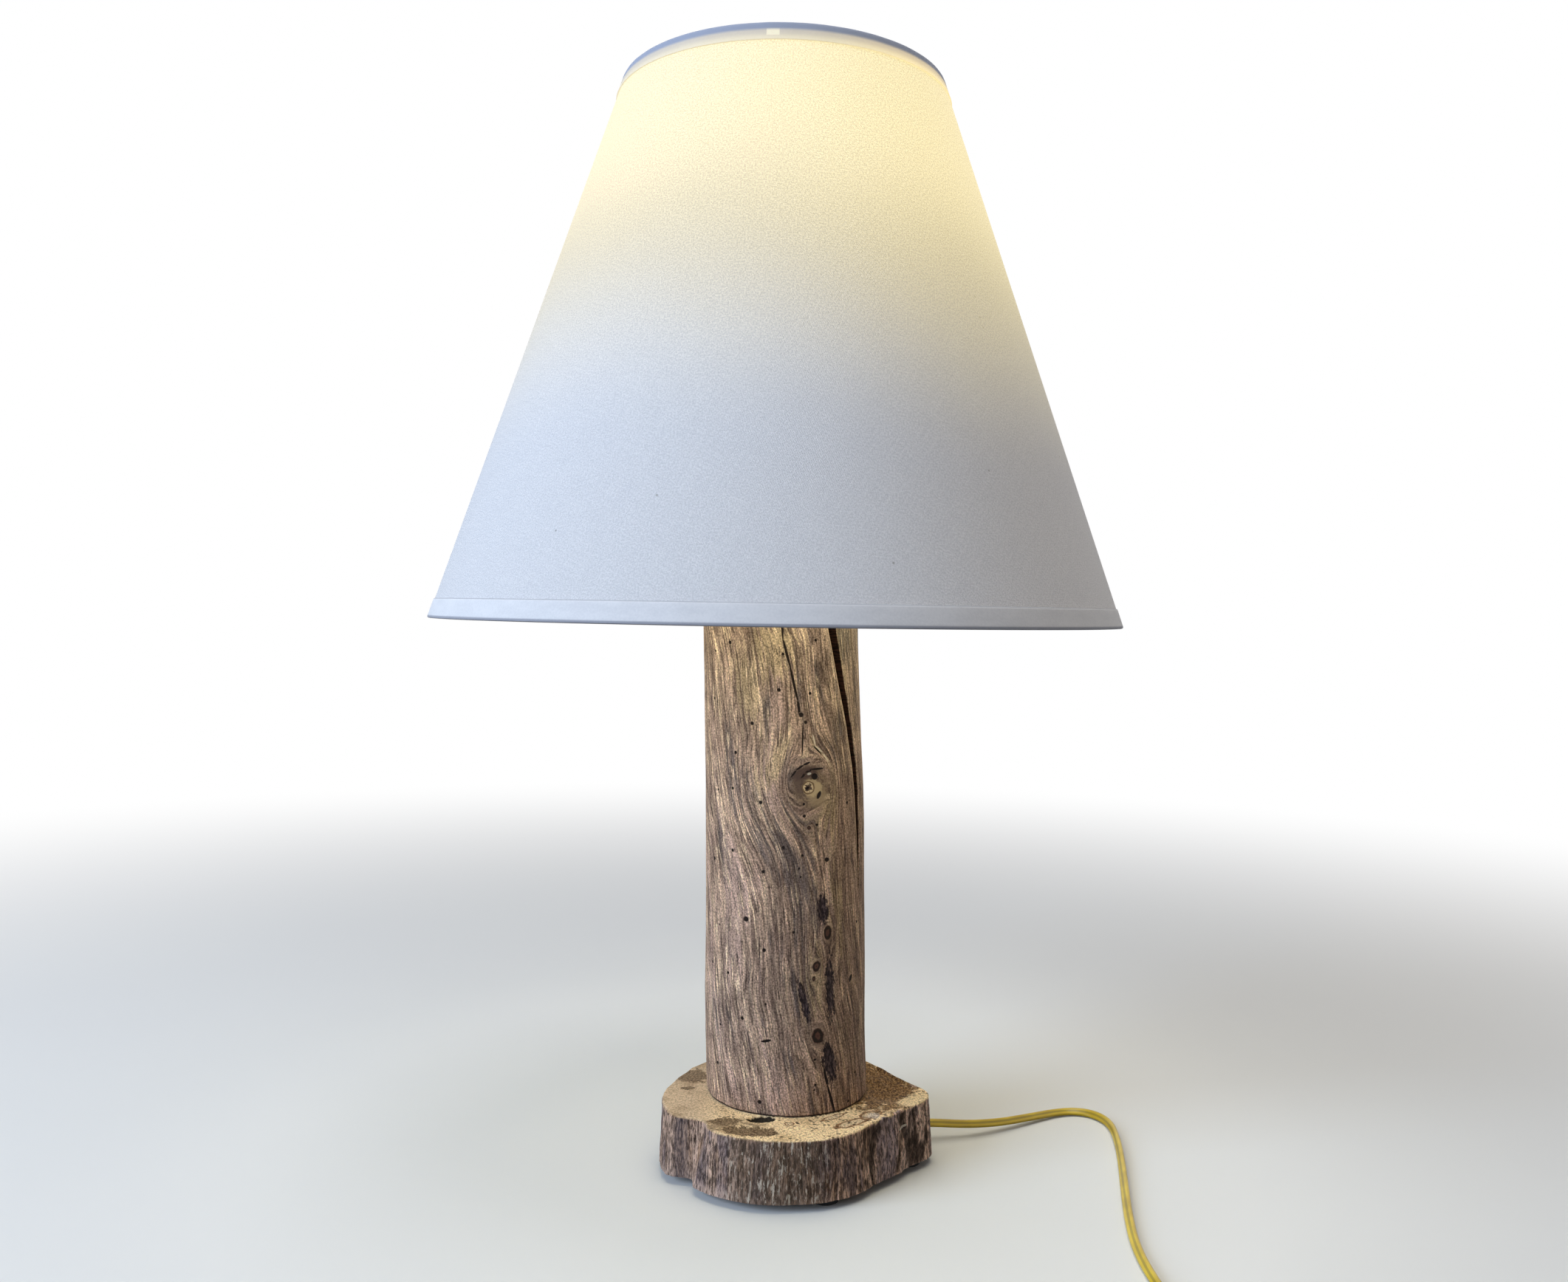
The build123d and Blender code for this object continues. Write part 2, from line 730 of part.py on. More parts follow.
# Bottom rim wire
with BuildPart() as shade_bottom_ring:
    with BuildSketch(Plane.XZ):
        with Locations((ring_centre(bottom_ring_height), bottom_ring_height)):
            Circle(shade_ring_radius)
    revolve(axis=Axis.Z)
save(shade_bottom_ring.part, "shade_bottom_ring")

# Spider: the top rim wire, three arms and the washer that sits on the stud
arm_start = spider_washer_radius - spider_weld_lap
arm_rise = top_ring_height - washer_bottom - spider_washer_thickness / 2
arm_run = ring_centre(top_ring_height) - arm_start
with BuildPart() as shade_spider:
    with BuildSketch(Plane.XZ):
        with Locations((ring_centre(top_ring_height), top_ring_height)):
            Circle(shade_ring_radius)
    revolve(axis=Axis.Z)
    with BuildSketch(Plane.XY.offset(washer_bottom)):
        Circle(spider_washer_radius)
        Circle(stud_thread_radius + moving_gap, mode=Mode.SUBTRACT)
    extrude(amount=spider_washer_thickness)
    for arm in range(spider_arm_count):
        angle = math.radians(90 + arm * 360 / spider_arm_count)
        outward = Vector(math.cos(angle), math.sin(angle), 0)
        slope = outward * arm_run + Vector(0, 0, arm_rise)
        foot = outward * arm_start + Vector(0, 0, washer_bottom + spider_washer_thickness / 2)
        with BuildSketch(Plane(origin=foot, z_dir=slope)):
            Circle(spider_arm_radius)
        extrude(amount=slope.length)
    with BuildSketch(Plane.XY.offset(washer_bottom)):
        Circle(2 * spider_washer_radius)
    extrude(amount=-2 * spider_arm_radius, mode=Mode.SUBTRACT)
save(shade_spider.part, "shade_spider")

# Finial: a turned brass knob screwed on the stud
finial_bottom = washer_bottom + spider_washer_thickness + moving_gap
finial_bore = stud_thread_radius + turning_gap
finial_bore_top = seat_top + stud_thread_height + finial_bore_relief
with BuildPart() as finial:
    with BuildSketch(Plane.XZ):
        with BuildLine():
            knob = Spline(
                (finial_neck_radius, finial_bottom + finial_neck_rise),
                (finial_radius, finial_bottom + finial_widest_rise),
                (0, finial_bottom + finial_height),
                tangents=[(0.6, 1), (-1, 0)],
            )
            Polyline(
                knob @ 1,
                (0, finial_bore_top),
                (finial_bore, finial_bore_top),
                (finial_bore, finial_bottom),
                (finial_radius, finial_bottom),
                (finial_radius, finial_bottom + finial_foot_height),
                (finial_neck_radius, finial_bottom + finial_taper_rise),
                knob @ 0,
            )
        make_face()
    revolve(axis=Axis.Z)
save(finial.part, "finial")

# Bushing in the slab's lead channel
bushing_inner_end = Plane(origin=channel_plane.origin - heading * (bushing_length - bushing_flange_thickness),
                          z_dir=heading)
with BuildPart() as cord_bushing:
    with BuildSketch(channel_plane):
        Circle(bushing_flange_radius)
    extrude(amount=bushing_flange_thickness)
    with BuildSketch(bushing_inner_end):
        Circle(lead_channel_diameter / 2)
    extrude(amount=bushing_length - bushing_flange_thickness)
    with BuildSketch(bushing_inner_end):
        Circle(bushing_bore / 2)
    extrude(amount=bushing_length, mode=Mode.SUBTRACT)
save(cord_bushing.part, "cord_bushing")

# Flat lead inside the lamp: from the bushing's mouth to the lamp holder's body
exit_reach = bushing_seat_reach + bushing_flange_thickness
cord_exit = heading * exit_reach + Vector(0, 0, lead_height)
with BuildPart() as inner_lead:
    with BuildLine():
        FilletPolyline(cord_exit, (0, 0, lead_height), (0, 0, body_bottom), radius=lead_bend_radius)
    with BuildSketch(Plane(origin=cord_exit, x_dir=heading.cross(Vector(0, 0, 1)), z_dir=-heading)):
        SlotOverall(cord_width, cord_thickness)
    sweep()
save(inner_lead.part, "inner_lead")


def bend_radii(points):
    """Radius of the arc at each corner of a route: as large as its two runs allow."""
    radii = []
    for before, corner, after in zip(points, points[1:], points[2:]):
        half_angle = math.radians((corner - before).get_angle(after - corner)) / 2
        shorter_run = min((corner - before).length, (after - corner).length)
        radii.append(0.45 * shorter_run / math.tan(half_angle))
    return radii


# Free lead: straight runs joined by tangent arcs
coil_height = tie_thickness + slip_gap + cord_width / 2
coil_centre = Vector(cord_route[-1][0] - coil_outer_radius, coil_centre_y, coil_height)
coil_start = coil_centre + Vector(coil_outer_radius, cord_width, 0)
route = [cord_exit] + [Vector(*point) for point in cord_route] + [coil_start]
with BuildPart() as power_cord:
    with BuildLine() as cord_path:
        FilletPolyline(*route, radius=bend_radii(route))
    with BuildSketch(Plane(origin=route[0], z_dir=cord_path.line % 0)):
        Circle(cord_width / 2)
    sweep()
save(power_cord.part, "power_cord")
cord_section = math.pi * (cord_width / 2) ** 2
print("free lead: length", round(cord_path.wire().length, 1))
print("free lead: bend radii", [round(radius) for radius in bend_radii(route)])
print("free lead: volume over section times length",
      round(power_cord.part.volume / (cord_section * cord_path.wire().length), 4))

# Coil: one lead that spirals in on the lower layer, climbs, and spirals out on the upper one
reaches = [coil_outer_radius - step * coil_pitch / 2 for step in range(coil_half_turns_in + 1)]
reaches += [reaches[-1] + step * coil_pitch / 2 for step in range(2, coil_half_turns_out + 3)]
stations = []
for index, reach in enumerate(reaches):
    layer = 0 if index < coil_half_turns_in else coil_layer_rise
    stations.append(coil_centre + Vector(reach * (-1) ** index, 0, layer))
with BuildPart() as cord_coil:
    with BuildLine() as coil_path:
        Line(coil_start, stations[0])
        for index, (start, end) in enumerate(zip(stations, stations[1:])):
            along = Vector(0, -1 if index % 2 == 0 else 1, 0)
            middle = (start + end) / 2 + along * ((end - start).length / 2)
            TangentArc(start, middle, tangent=along)
            if index < len(stations) - 2:
                TangentArc(middle, end, tangent=end - start)
        coil_end = middle + (end - start).normalized() * cord_width
        Line(middle, coil_end)
    with BuildSketch(Plane(origin=coil_start, z_dir=(0, -1, 0))):
        Circle(cord_width / 2)
    sweep()
save(cord_coil.part, "cord_coil")


def least_gap(path, spacing):
    """Least distance between the surfaces of turns that are not neighbours along the lead."""
    count = int(path.length / spacing)
    points = [path.position_at(index / count) for index in range(count + 1)]
    skipped = int(6 * cord_width / spacing)
    nearest = min(
        (points[low] - points[high]).length
        for low in range(count + 1)
        for high in range(low + skipped, count + 1)
    )
    return nearest - cord_width


print("coil: length", round(coil_path.wire().length, 1))
print("coil: least gap to itself", round(least_gap(coil_path.wire(), 2), 2))
print("coil: volume over section times length",
      round(cord_coil.part.volume / (cord_section * coil_path.wire().length), 4))

# Tie round the coil, at its side away from the free lead
tie_x = coil_centre.X - coil_outer_radius + coil_half_turns_in * coil_pitch / 4
tie_inner_width = coil_half_turns_in * coil_pitch / 2 + cord_width + tie_play
tie_inner_height = cord_width + coil_layer_rise + 2 * slip_gap
tie_middle = tie_thickness + tie_inner_height / 2
with BuildPart() as cord_tie:
    with BuildSketch(Plane(origin=(tie_x, coil_centre_y, tie_middle), x_dir=(1, 0, 0), z_dir=(0, -1, 0))):
        RectangleRounded(tie_inner_width + 2 * tie_thickness, tie_inner_height + 2 * tie_thickness,
                         tie_corner_radius)
        RectangleRounded(tie_inner_width, tie_inner_height, tie_corner_radius - tie_thickness,
                         mode=Mode.SUBTRACT)
    extrude(amount=tie_width / 2, both=True)
save(cord_tie.part, "cord_tie")

# Short tail from the coil to the plug
out = (stations[-1] - stations[-2]).normalized()
plug_mouth = coil_end + out * tail_length
plug_height = plug_thickness / 2 + slip_gap
plug_mouth = Vector(plug_mouth.X, plug_mouth.Y, plug_height)
tail_route = [
    coil_end,
    coil_end + out * tail_length / 3,
    plug_mouth - out * tail_length / 3,
    plug_mouth,
]
with BuildPart() as cord_tail:
    with BuildLine() as tail_path:
        FilletPolyline(*tail_route, radius=bend_radii(tail_route))
    with BuildSketch(Plane(origin=coil_end, z_dir=out)):
        Circle(cord_width / 2)
    sweep()
save(cord_tail.part, "cord_tail")
print("tail: length", round(tail_path.wire().length, 1))

# Moulded plug with a tapered strain relief, lying flat
relief_plane = Plane(origin=plug_mouth, x_dir=(0, 1, 0), z_dir=out)
with BuildPart() as plug_body:
    with BuildSketch(relief_plane):
        Circle(cord_width / 2 + plug_relief_wall)
    with BuildSketch(relief_plane.offset(plug_relief_length)):
        Circle(plug_relief_radius)
    loft()
    with BuildSketch(relief_plane.offset(plug_relief_length)):
        RectangleRounded(plug_width, plug_thickness, plug_corner_radius)
    extrude(amount=plug_length)
    fillet(plug_body.faces().sort_by(Axis.X)[0].edges(), plug_edge_radius)
save(plug_body.part, "plug_body")

with BuildPart() as plug_blades:
    with BuildSketch(relief_plane.offset(plug_relief_length + plug_length)):
        with GridLocations(blade_spacing, 1, 2, 1):
            Rectangle(blade_thickness, blade_width)
    extrude(amount=blade_length)
save(plug_blades.part, "plug_blades")
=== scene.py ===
"""Looks of a lit table lamp: driftwood post, live-edge base slab, cone shade of white cloth, flat gold lead."""
import logging
import math
from dataclasses import dataclass
from enum import Enum

import bpy
import numpy as np
from mathutils import Matrix, Vector


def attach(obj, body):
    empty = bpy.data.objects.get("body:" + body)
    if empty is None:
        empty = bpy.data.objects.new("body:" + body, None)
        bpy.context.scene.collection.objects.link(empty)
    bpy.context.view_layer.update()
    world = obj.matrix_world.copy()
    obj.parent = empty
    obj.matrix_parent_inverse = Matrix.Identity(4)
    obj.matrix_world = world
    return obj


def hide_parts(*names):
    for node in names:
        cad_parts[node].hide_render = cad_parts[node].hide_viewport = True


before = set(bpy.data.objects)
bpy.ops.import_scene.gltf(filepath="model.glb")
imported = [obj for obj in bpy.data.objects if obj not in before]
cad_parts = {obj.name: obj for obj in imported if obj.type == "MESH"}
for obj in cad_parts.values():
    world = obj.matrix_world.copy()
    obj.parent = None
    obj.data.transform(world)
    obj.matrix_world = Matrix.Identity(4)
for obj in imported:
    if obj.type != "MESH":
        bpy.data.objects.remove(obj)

Triple = tuple[float, float, float]
Pair = tuple[float, float]
Grid = np.ndarray
Object, Material, Socket = bpy.types.Object, bpy.types.Material, bpy.types.NodeSocket

BLACK, WHITE = (0.0, 0.0, 0.0), (1.0, 1.0, 1.0)
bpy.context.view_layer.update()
LOG = logging.getLogger("lamp")
MM = 0.001
TURN = 2 * math.pi


# Number helpers


def lattice(cells: Grid, seed: int) -> Grid:
    """Repeatable values for whole-number lattice cells: the three coordinates are hashed together.

    Args:
        cells: Array whose last axis holds three whole coordinates.
        seed: Number that tells one pattern from another.

    Returns:
        Values from -1 to 1.
    """
    x, y, z = (cells[..., k].astype(np.int64) for k in range(3))
    mixed = (x * 73856093) ^ (y * 19349663) ^ (z * 83492791) ^ (seed * 7919)
    mixed = ((mixed ^ (mixed >> 13)) * 1274126177) & 0x7FFFFFFF
    return ((mixed ^ (mixed >> 16)) & 0xFFFF) / 32767.5 - 1


def value_noise(points: Grid, seed: int, octaves: int = 1) -> Grid:
    """Smooth noise: lattice values blended between the eight corners of each cell, summed over halving octaves.

    Args:
        points: Array whose last axis holds three coordinates, in cells.
        seed: Number that tells one pattern from another.
        octaves: How many layers are summed, each twice as fine and half as strong.

    Returns:
        Values of about -1 to 1.
    """
    total = np.zeros(points.shape[:-1])
    for octave in range(octaves):
        scaled = points * 2**octave
        cell = np.floor(scaled)
        inside = scaled - cell
        inside = inside * inside * (3 - 2 * inside)
        for corner in range(8):
            offset = np.array([corner & 1, corner >> 1 & 1, corner >> 2 & 1])
            weight = np.prod(np.where(offset == 1, inside, 1 - inside), axis=-1)
            total += weight * lattice(cell + offset, seed + octave) / 2**octave
    return total


def smooth_step(low: float, high: float, value: Grid) -> Grid:
    """0 below low, 1 above high and an S-curve between them."""
    t = np.clip((value - low) / (high - low), 0, 1)
    return t * t * (3 - 2 * t)


def ring_faces(rows: int, columns: int, closed: bool) -> Grid:
    """Quads of a grid whose columns run round, and whose rows may run round as well.

    Args:
        rows: How many rows the grid has.
        columns: How many columns it has.
        closed: Whether the last row joins the first.

    Returns:
        The corner numbers of each quad: a point, the one beside it and the two of the next row.
    """
    row = np.arange(rows if closed else rows - 1)[:, None]
    column = np.arange(columns)[None, :]
    below, beside = (row + 1) % rows, (column + 1) % columns
    corners = (row * columns + column, row * columns + beside, below * columns + beside, below * columns + column)
    return np.stack(corners, -1).reshape(-1, 4)


def corner_grid(values: Grid, closed: bool) -> Grid:
    """Corner values of the quads of a grid whose last column repeats its first one, a turn on.

    Args:
        values: A pair of numbers for each row and column.
        closed: Whether the rows run round as well.

    Returns:
        The four corners' pairs for each quad, in the order of ring_faces.
    """
    low = np.arange(len(values) if closed else len(values) - 1)
    high = (low + 1) % len(values)
    return np.stack([values[low, :-1], values[low, 1:], values[high, 1:], values[high, :-1]], 2)


def ring_angles(columns: int) -> Grid:
    """Evenly spaced angles round a ring, as one row."""
    return np.linspace(0, TURN, columns, endpoint=False)[None, :]


def polar(radius: Grid | float, angle: Grid, height: Grid | float) -> Grid:
    """Points (r cos a, r sin a, z) of whole grids of radii, angles and heights."""
    return np.stack(np.broadcast_arrays(radius * np.cos(angle), radius * np.sin(angle), height), -1)


def oval(across: Grid, along: Grid, centre: Pair, half: Pair) -> Grid:
    """Distance from the centre of an upright ellipse, which is 1 on its rim."""
    return np.hypot((across - centre[0]) / half[0], (along - centre[1]) / half[1])


def on_axes(across: Grid, along: Grid, turn: float) -> tuple[Grid, Grid]:
    """A pair of coordinates (x cos a + y sin a, y cos a - x sin a), read on axes turned by a radians."""
    return across * math.cos(turn) + along * math.sin(turn), along * math.cos(turn) - across * math.sin(turn)


def outward(points: Grid, faces: Grid) -> Grid:
    """The faces of a closed mesh, turned round where their signed volume is negative.

    Args:
        points: The mesh's points.
        faces: Its quads.

    Returns:
        The quads with their normals outward.
    """
    a, b, c, d = (points[faces[:, k]] for k in range(4))
    volume = np.einsum("ij,ij->", a, np.cross(b, c)) + np.einsum("ij,ij->", a, np.cross(c, d))
    return faces if volume > 0 else faces[:, ::-1]


def link(name: str, data: bpy.types.ID) -> Object:
    """A new object in the scene that holds some data.

    Args:
        name: Name of the object.
        data: Its mesh, camera or light.

    Returns:
        The object.
    """
    piece = bpy.data.objects.new(name, data)
    bpy.context.scene.collection.objects.link(piece)
    return piece


def make_mesh(name: str, points: Grid, faces: Grid, crease: float, values: dict[str, Grid] | None = None,
              sheets: dict[str, Grid] | None = None) -> Object:
    """Put a grid of points into a new mesh object that stands at the origin.

    Args:
        name: Name of the piece.
        points: Array of points in metres.
        faces: Quads of a closed mesh.
        crease: Edges that turn by more than this many degrees stay sharp.
        values: Point attributes by name, one number or three numbers a point.
        sheets: UV maps by name, each a pair of numbers for each corner of each of the given quads.

    Returns:
        The new object.
    """
    flat = points.reshape(-1, 3)
    turned = outward(flat, faces)
    mesh = bpy.data.meshes.new(name)
    mesh.from_pydata(flat.tolist(), [], turned.tolist())
    for key, data in (values or {}).items():
        wide = data.reshape(len(flat), -1).shape[1] == 3
        attribute = mesh.attributes.new(key, "FLOAT_VECTOR" if wide else "FLOAT", "POINT")
        attribute.data.foreach_set("vector" if wide else "value", data.astype(np.float32).ravel())
    for key, data in (sheets or {}).items():
        corners = data.reshape(len(faces), 4, 2)
        if turned is not faces:
            corners = corners[:, ::-1]
        mesh.uv_layers.new(name=key).data.foreach_set("uv", corners.astype(np.float32).ravel())
    mesh.shade_smooth()
    mesh.set_sharp_from_angle(angle=math.radians(crease))
    mesh.update()
    return link(name, mesh)


def settle(piece: Object, material: Material, body: str, slot: str, *nodes: str) -> None:
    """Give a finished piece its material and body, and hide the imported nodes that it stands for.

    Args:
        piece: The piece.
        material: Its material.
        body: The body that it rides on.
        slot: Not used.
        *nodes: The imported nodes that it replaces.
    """
    piece.data.materials.append(material)
    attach(piece, body)
    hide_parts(*nodes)


# Materials


class Tree:
    """Short calls for the nodes of a material or of the world."""

    def __init__(self, tree: bpy.types.NodeTree) -> None:
        """Take the node tree that the calls add to."""
        self.tree = tree

    def feed(self, socket: Socket, value: object) -> None:
        """Link a socket where value is one, and otherwise set its number or colour.

        Args:
            socket: The input to feed.
            value: A socket, a number, a vector or a colour.
        """
        if isinstance(value, Socket):
            self.tree.links.new(value, socket)
        elif isinstance(value, tuple) and socket.type == "RGBA":
            socket.default_value = (*value, 1.0)
        else:
            socket.default_value = value

    def node(self, kind: str, *values: object, **settings: object) -> bpy.types.Node:
        """Add a node and feed its first inputs.

        Args:
            kind: The node's type, without ShaderNode.
            *values: Values or sockets for its inputs in order; None leaves one alone.
            **settings: Properties of the node.

        Returns:
            The node.
        """
        made = self.tree.nodes.new("ShaderNode" + kind)
        for key, value in settings.items():
            setattr(made, key, value)
        for socket, value in zip(made.inputs, values):
            if value is not None:
                self.feed(socket, value)
        return made

    def math(self, operation: str, *values: object, clamp: bool = False) -> Socket:
        """A Math node's result."""
        return self.node("Math", *values, operation=operation, use_clamp=clamp).outputs[0]

    def add(self, *values: object) -> Socket:
        """One value and another."""
        return self.math("ADD", *values)

    def times(self, *values: object) -> Socket:
        """One value times another."""
        return self.math("MULTIPLY", *values)

    def times_plus(self, *values: object) -> Socket:
        """The first value times the second, and the third."""
        return self.math("MULTIPLY_ADD", *values)

    def gap(self, *values: object) -> Socket:
        """How far one value is from another."""
        return self.math("ABSOLUTE", self.math("SUBTRACT", *values))

    def axes(self, vector: object) -> bpy.types.NodeOutputs:
        """A vector's three numbers."""
        return self.node("SeparateXYZ", vector).outputs

    def span(self, value: object, low: float, high: float, start: float = 0.0, end: float = 1.0) -> Socket:
        """Smooth change from start to end as value goes from low to high."""
        return self.node("MapRange", value, low, high, start, end, interpolation_type="SMOOTHSTEP").outputs[0]

    def blend(self, share: object, a: object, b: object, kind: str = "MIX") -> Socket:
        """Colour a turned into colour b by share.

        Args:
            share: How far the second colour takes over.
            a: First colour.
            b: Second colour.
            kind: How the two are mixed.

        Returns:
            The mixed colour.
        """
        made = self.node("Mix", data_type="RGBA", blend_type=kind)
        for index, value in ((0, share), (6, a), (7, b)):
            self.feed(made.inputs[index], value)
        return made.outputs[2]

    def laid(self, under: object, over: object, value: object, low: float, high: float, start: float = 0.0,
             end: float = 1.0) -> Socket:
        """Colour over laid on colour under, as far as value's span says."""
        return self.blend(self.span(value, low, high, start, end), under, over)

    def tinted(self, colour: object, factor: object) -> Socket:
        """A colour times a factor, which may be a colour or a number."""
        return self.blend(1.0, colour, factor, "MULTIPLY")

    def scaled(self, vector: object, factors: Triple) -> Socket:
        """A vector times three factors."""
        return self.node("VectorMath", vector, factors, operation="MULTIPLY").outputs[0]

    def length(self, vector: object) -> Socket:
        """A vector's length."""
        return self.node("VectorMath", vector, operation="LENGTH").outputs[1]

    def noise(self, vector: object, factors: Triple, detail: float = 2.0, roughness: float = 0.5) -> Socket:
        """Noise from 0 to 1 over a vector that is first scaled by factors.

        Args:
            vector: Where the noise is read.
            factors: Cells in each unit of the vector.
            detail: How many finer layers there are.
            roughness: How strong the finer layers are.

        Returns:
            The noise.
        """
        made = self.node("TexNoise", self.scaled(vector, factors))
        made.inputs["Scale"].default_value = 1.0
        made.inputs["Detail"].default_value = detail
        made.inputs["Roughness"].default_value = roughness
        return made.outputs[0]

    def cells(self, vector: object, factors: Triple) -> Socket:
        """Distance to the nearest of scattered points, over a vector that is first scaled by factors.

        Args:
            vector: Where the distance is read.
            factors: Cells in each unit of the vector.

        Returns:
            The distance, in cells.
        """
        made = self.node("TexVoronoi", self.scaled(vector, factors))
        made.inputs["Scale"].default_value = 1.0
        return made.outputs["Distance"]

    def place(self) -> Socket:
        """Object coordinates, in metres."""
        return self.node("TexCoord").outputs["Object"]

    def value(self, name: str, output: str = "Fac") -> Socket:
        """A mesh attribute."""
        return self.node("Attribute", attribute_name=name).outputs[output]

    def sheet(self, name: str) -> Socket:
        """A UV map."""
        return self.node("UVMap", uv_map=name).outputs[0]

    def ellipse(self, vector: object, centre: Pair, half: Pair, lean: float = 0.0) -> Socket:
        """Distance from an ellipse's centre, which is 1 on its rim.

        Args:
            vector: Flat coordinates.
            centre: The ellipse's centre.
            half: Its half width and half height.
            lean: Its turn in degrees, anticlockwise.

        Returns:
            The distance.
        """
        made = self.node("Mapping", vector, (*centre, 0.0), (0.0, 0.0, math.radians(lean)), (*half, 1.0),
                         vector_type="TEXTURE")
        return self.length(made.outputs[0])


class Board(Tree):
    """Node tree of one material, round its principled shader."""

    def __init__(self, name: str, **inputs: object) -> None:
        """Start a material.

        Args:
            name: Name of the material.
            **inputs: Values of the shader's inputs, with _ for a space.
        """
        self.material = bpy.data.materials.new(name)
        self.material.use_nodes = True
        super().__init__(self.material.node_tree)
        self.shader = self.tree.nodes["Principled BSDF"]
        for key, value in inputs.items():
            self.set(key.replace("_", " "), value)

    def set(self, key: str, value: object) -> None:
        """Set or link one of the shader's inputs."""
        self.feed(self.shader.inputs[key], value)

    def relief(self, height: object, depth: float, strength: float = 1.0) -> None:
        """Bump the surface by a height from 0 to 1, which is depth metres high.

        Args:
            height: The height.
            depth: How many metres high 1 is.
            strength: How much of it shows.
        """
        made = self.node("Bump")
        self.feed(made.inputs["Strength"], strength)
        self.feed(made.inputs["Distance"], depth)
        self.feed(made.inputs["Height"], height)
        self.set("Normal", made.outputs[0])


@dataclass(frozen=True)
class Stain:
    """A patch of colour on a flat surface: an ellipse that fades between two distances, of which 1 is its rim."""

    colour: Triple
    centre: Pair
    half: Pair
    lean: float
    fade: Pair
    strength: float

    def over(self, board: Board, colour: object, flat: object, rough: object) -> Socket:
        """Lay the patch on a colour, with rough added to the distance, so that the edge is uneven."""
        reach = board.add(board.ellipse(flat, self.centre, self.half, self.lean), rough)
        return board.laid(colour, self.colour, reach, *self.fade, self.strength, 0.0)


class Polish(Enum):
    """How a metal surface is worked."""

    BRIGHT = 0.18
    SATIN = 0.34
    PLATED = 0.42


@dataclass(frozen=True)
class Metal:
    """Bare or plated metal with fine turning lines and a little uneven tarnish."""

    name: str
    colour: Triple
    polish: Polish
    tarnish: Triple

    def material(self) -> Material:
        """Build the material: colour by soft patches, roughness and bump by lines round the axis.

        Returns:
            The material.
        """
        board = Board(self.name, Metallic=1.0)
        place = board.place()
        patches = board.noise(place, (90, 90, 90), 3)
        lines = board.noise(place, (60, 60, 2600), 2)
        board.set("Base Color", board.laid(self.colour, self.tarnish, patches, 0.45, 0.75))
        rough = self.polish.value
        board.set("Roughness", board.span(board.add(patches, lines), 0.7, 1.3, rough - 0.06, rough + 0.1))
        board.relief(lines, 0.00002, 0.5)
        return board.material


@dataclass(frozen=True)
class Moulding:
    """Moulded plastic or rubber with a fine spark-eroded grain and slight handling marks."""

    name: str
    colour: Triple
    roughness: float
    grain: float = 0.00004
    gloss: float = 0.5

    def material(self) -> Material:
        """Build the material: an even colour with faint clouding, and a fine bump.

        Returns:
            The material.
        """
        board = Board(self.name, Specular_IOR_Level=self.gloss)
        place = board.place()
        cloud = board.noise(place, (120, 120, 120), 3)
        grain = board.noise(place, (2200, 2200, 2200), 2)
        pale = tuple(min(1.0, part * 1.18 + 0.006) for part in self.colour)
        board.set("Base Color", board.laid(self.colour, pale, cloud, 0.4, 0.75))
        board.set("Roughness", board.span(cloud, 0.3, 0.7, self.roughness - 0.05, self.roughness + 0.07))
        board.relief(grain, self.grain, 0.6)
        return board.material


@dataclass(frozen=True)
class PressedPaper:
    """Brown insulating paper with short fibres."""

    name: str = "pressed_paper"

    def material(self) -> Material:
        """Build the material: two browns mixed by stretched noise.

        Returns:
            The material.
        """
        board = Board(self.name, Roughness=0.85)
        fibres = board.noise(board.place(), (500, 500, 160), 4)
        board.set("Base Color", board.laid((0.30, 0.19, 0.10), (0.48, 0.34, 0.21), fibres, 0.35, 0.7))
        board.relief(fibres, 0.00008)
        return board.material


@dataclass(frozen=True)
class Diffuser:
    """Frosted bulb globe that glows warm white."""

    name: str = "frosted_glow"
    glow: float = 0.8

    def material(self) -> Material:
        """Build the material: white, with an emission that fades a little towards the housing.

        Returns:
            The material.
        """
        board = Board(self.name, Roughness=0.35, Emission_Strength=self.glow)
        height = board.axes(board.place())[2]
        share = board.span(height, 0.527, 0.545)
        board.set("Base Color", (0.50, 0.48, 0.44))
        board.set("Emission Color", board.blend(share, (0.75, 0.60, 0.38), (1.0, 0.88, 0.62)))
        board.relief(board.noise(board.place(), (900, 900, 900), 2), 0.00003, 0.4)
        return board.material


@dataclass(frozen=True)
class Glow:
    """Warm light that the shade lets through: where it starts and is full, in metres up the lamp."""

    low: float = 0.420
    high: float = 0.612
    colour: Triple = (0.80, 0.665, 0.325)
    thread: Triple = (0.88, 0.735, 0.365)
    veil: float = 0.4

    def share(self, board: Board, place: Socket) -> Socket:
        """How far the light has come up at a place, from 0 to 1: by height, sooner on the right, a little uneven.

        Args:
            board: Node tree of the material.
            place: Object coordinates.

        Returns:
            The share of full light.
        """
        parts = board.axes(place)
        wander = board.noise(place, (9, 9, 9), 1)
        lifted = board.times_plus(wander, 0.02, parts[2])
        right = board.math("MAXIMUM", parts[0], 0.0)
        return board.span(board.times_plus(right, 0.10, lifted), self.low, self.high)


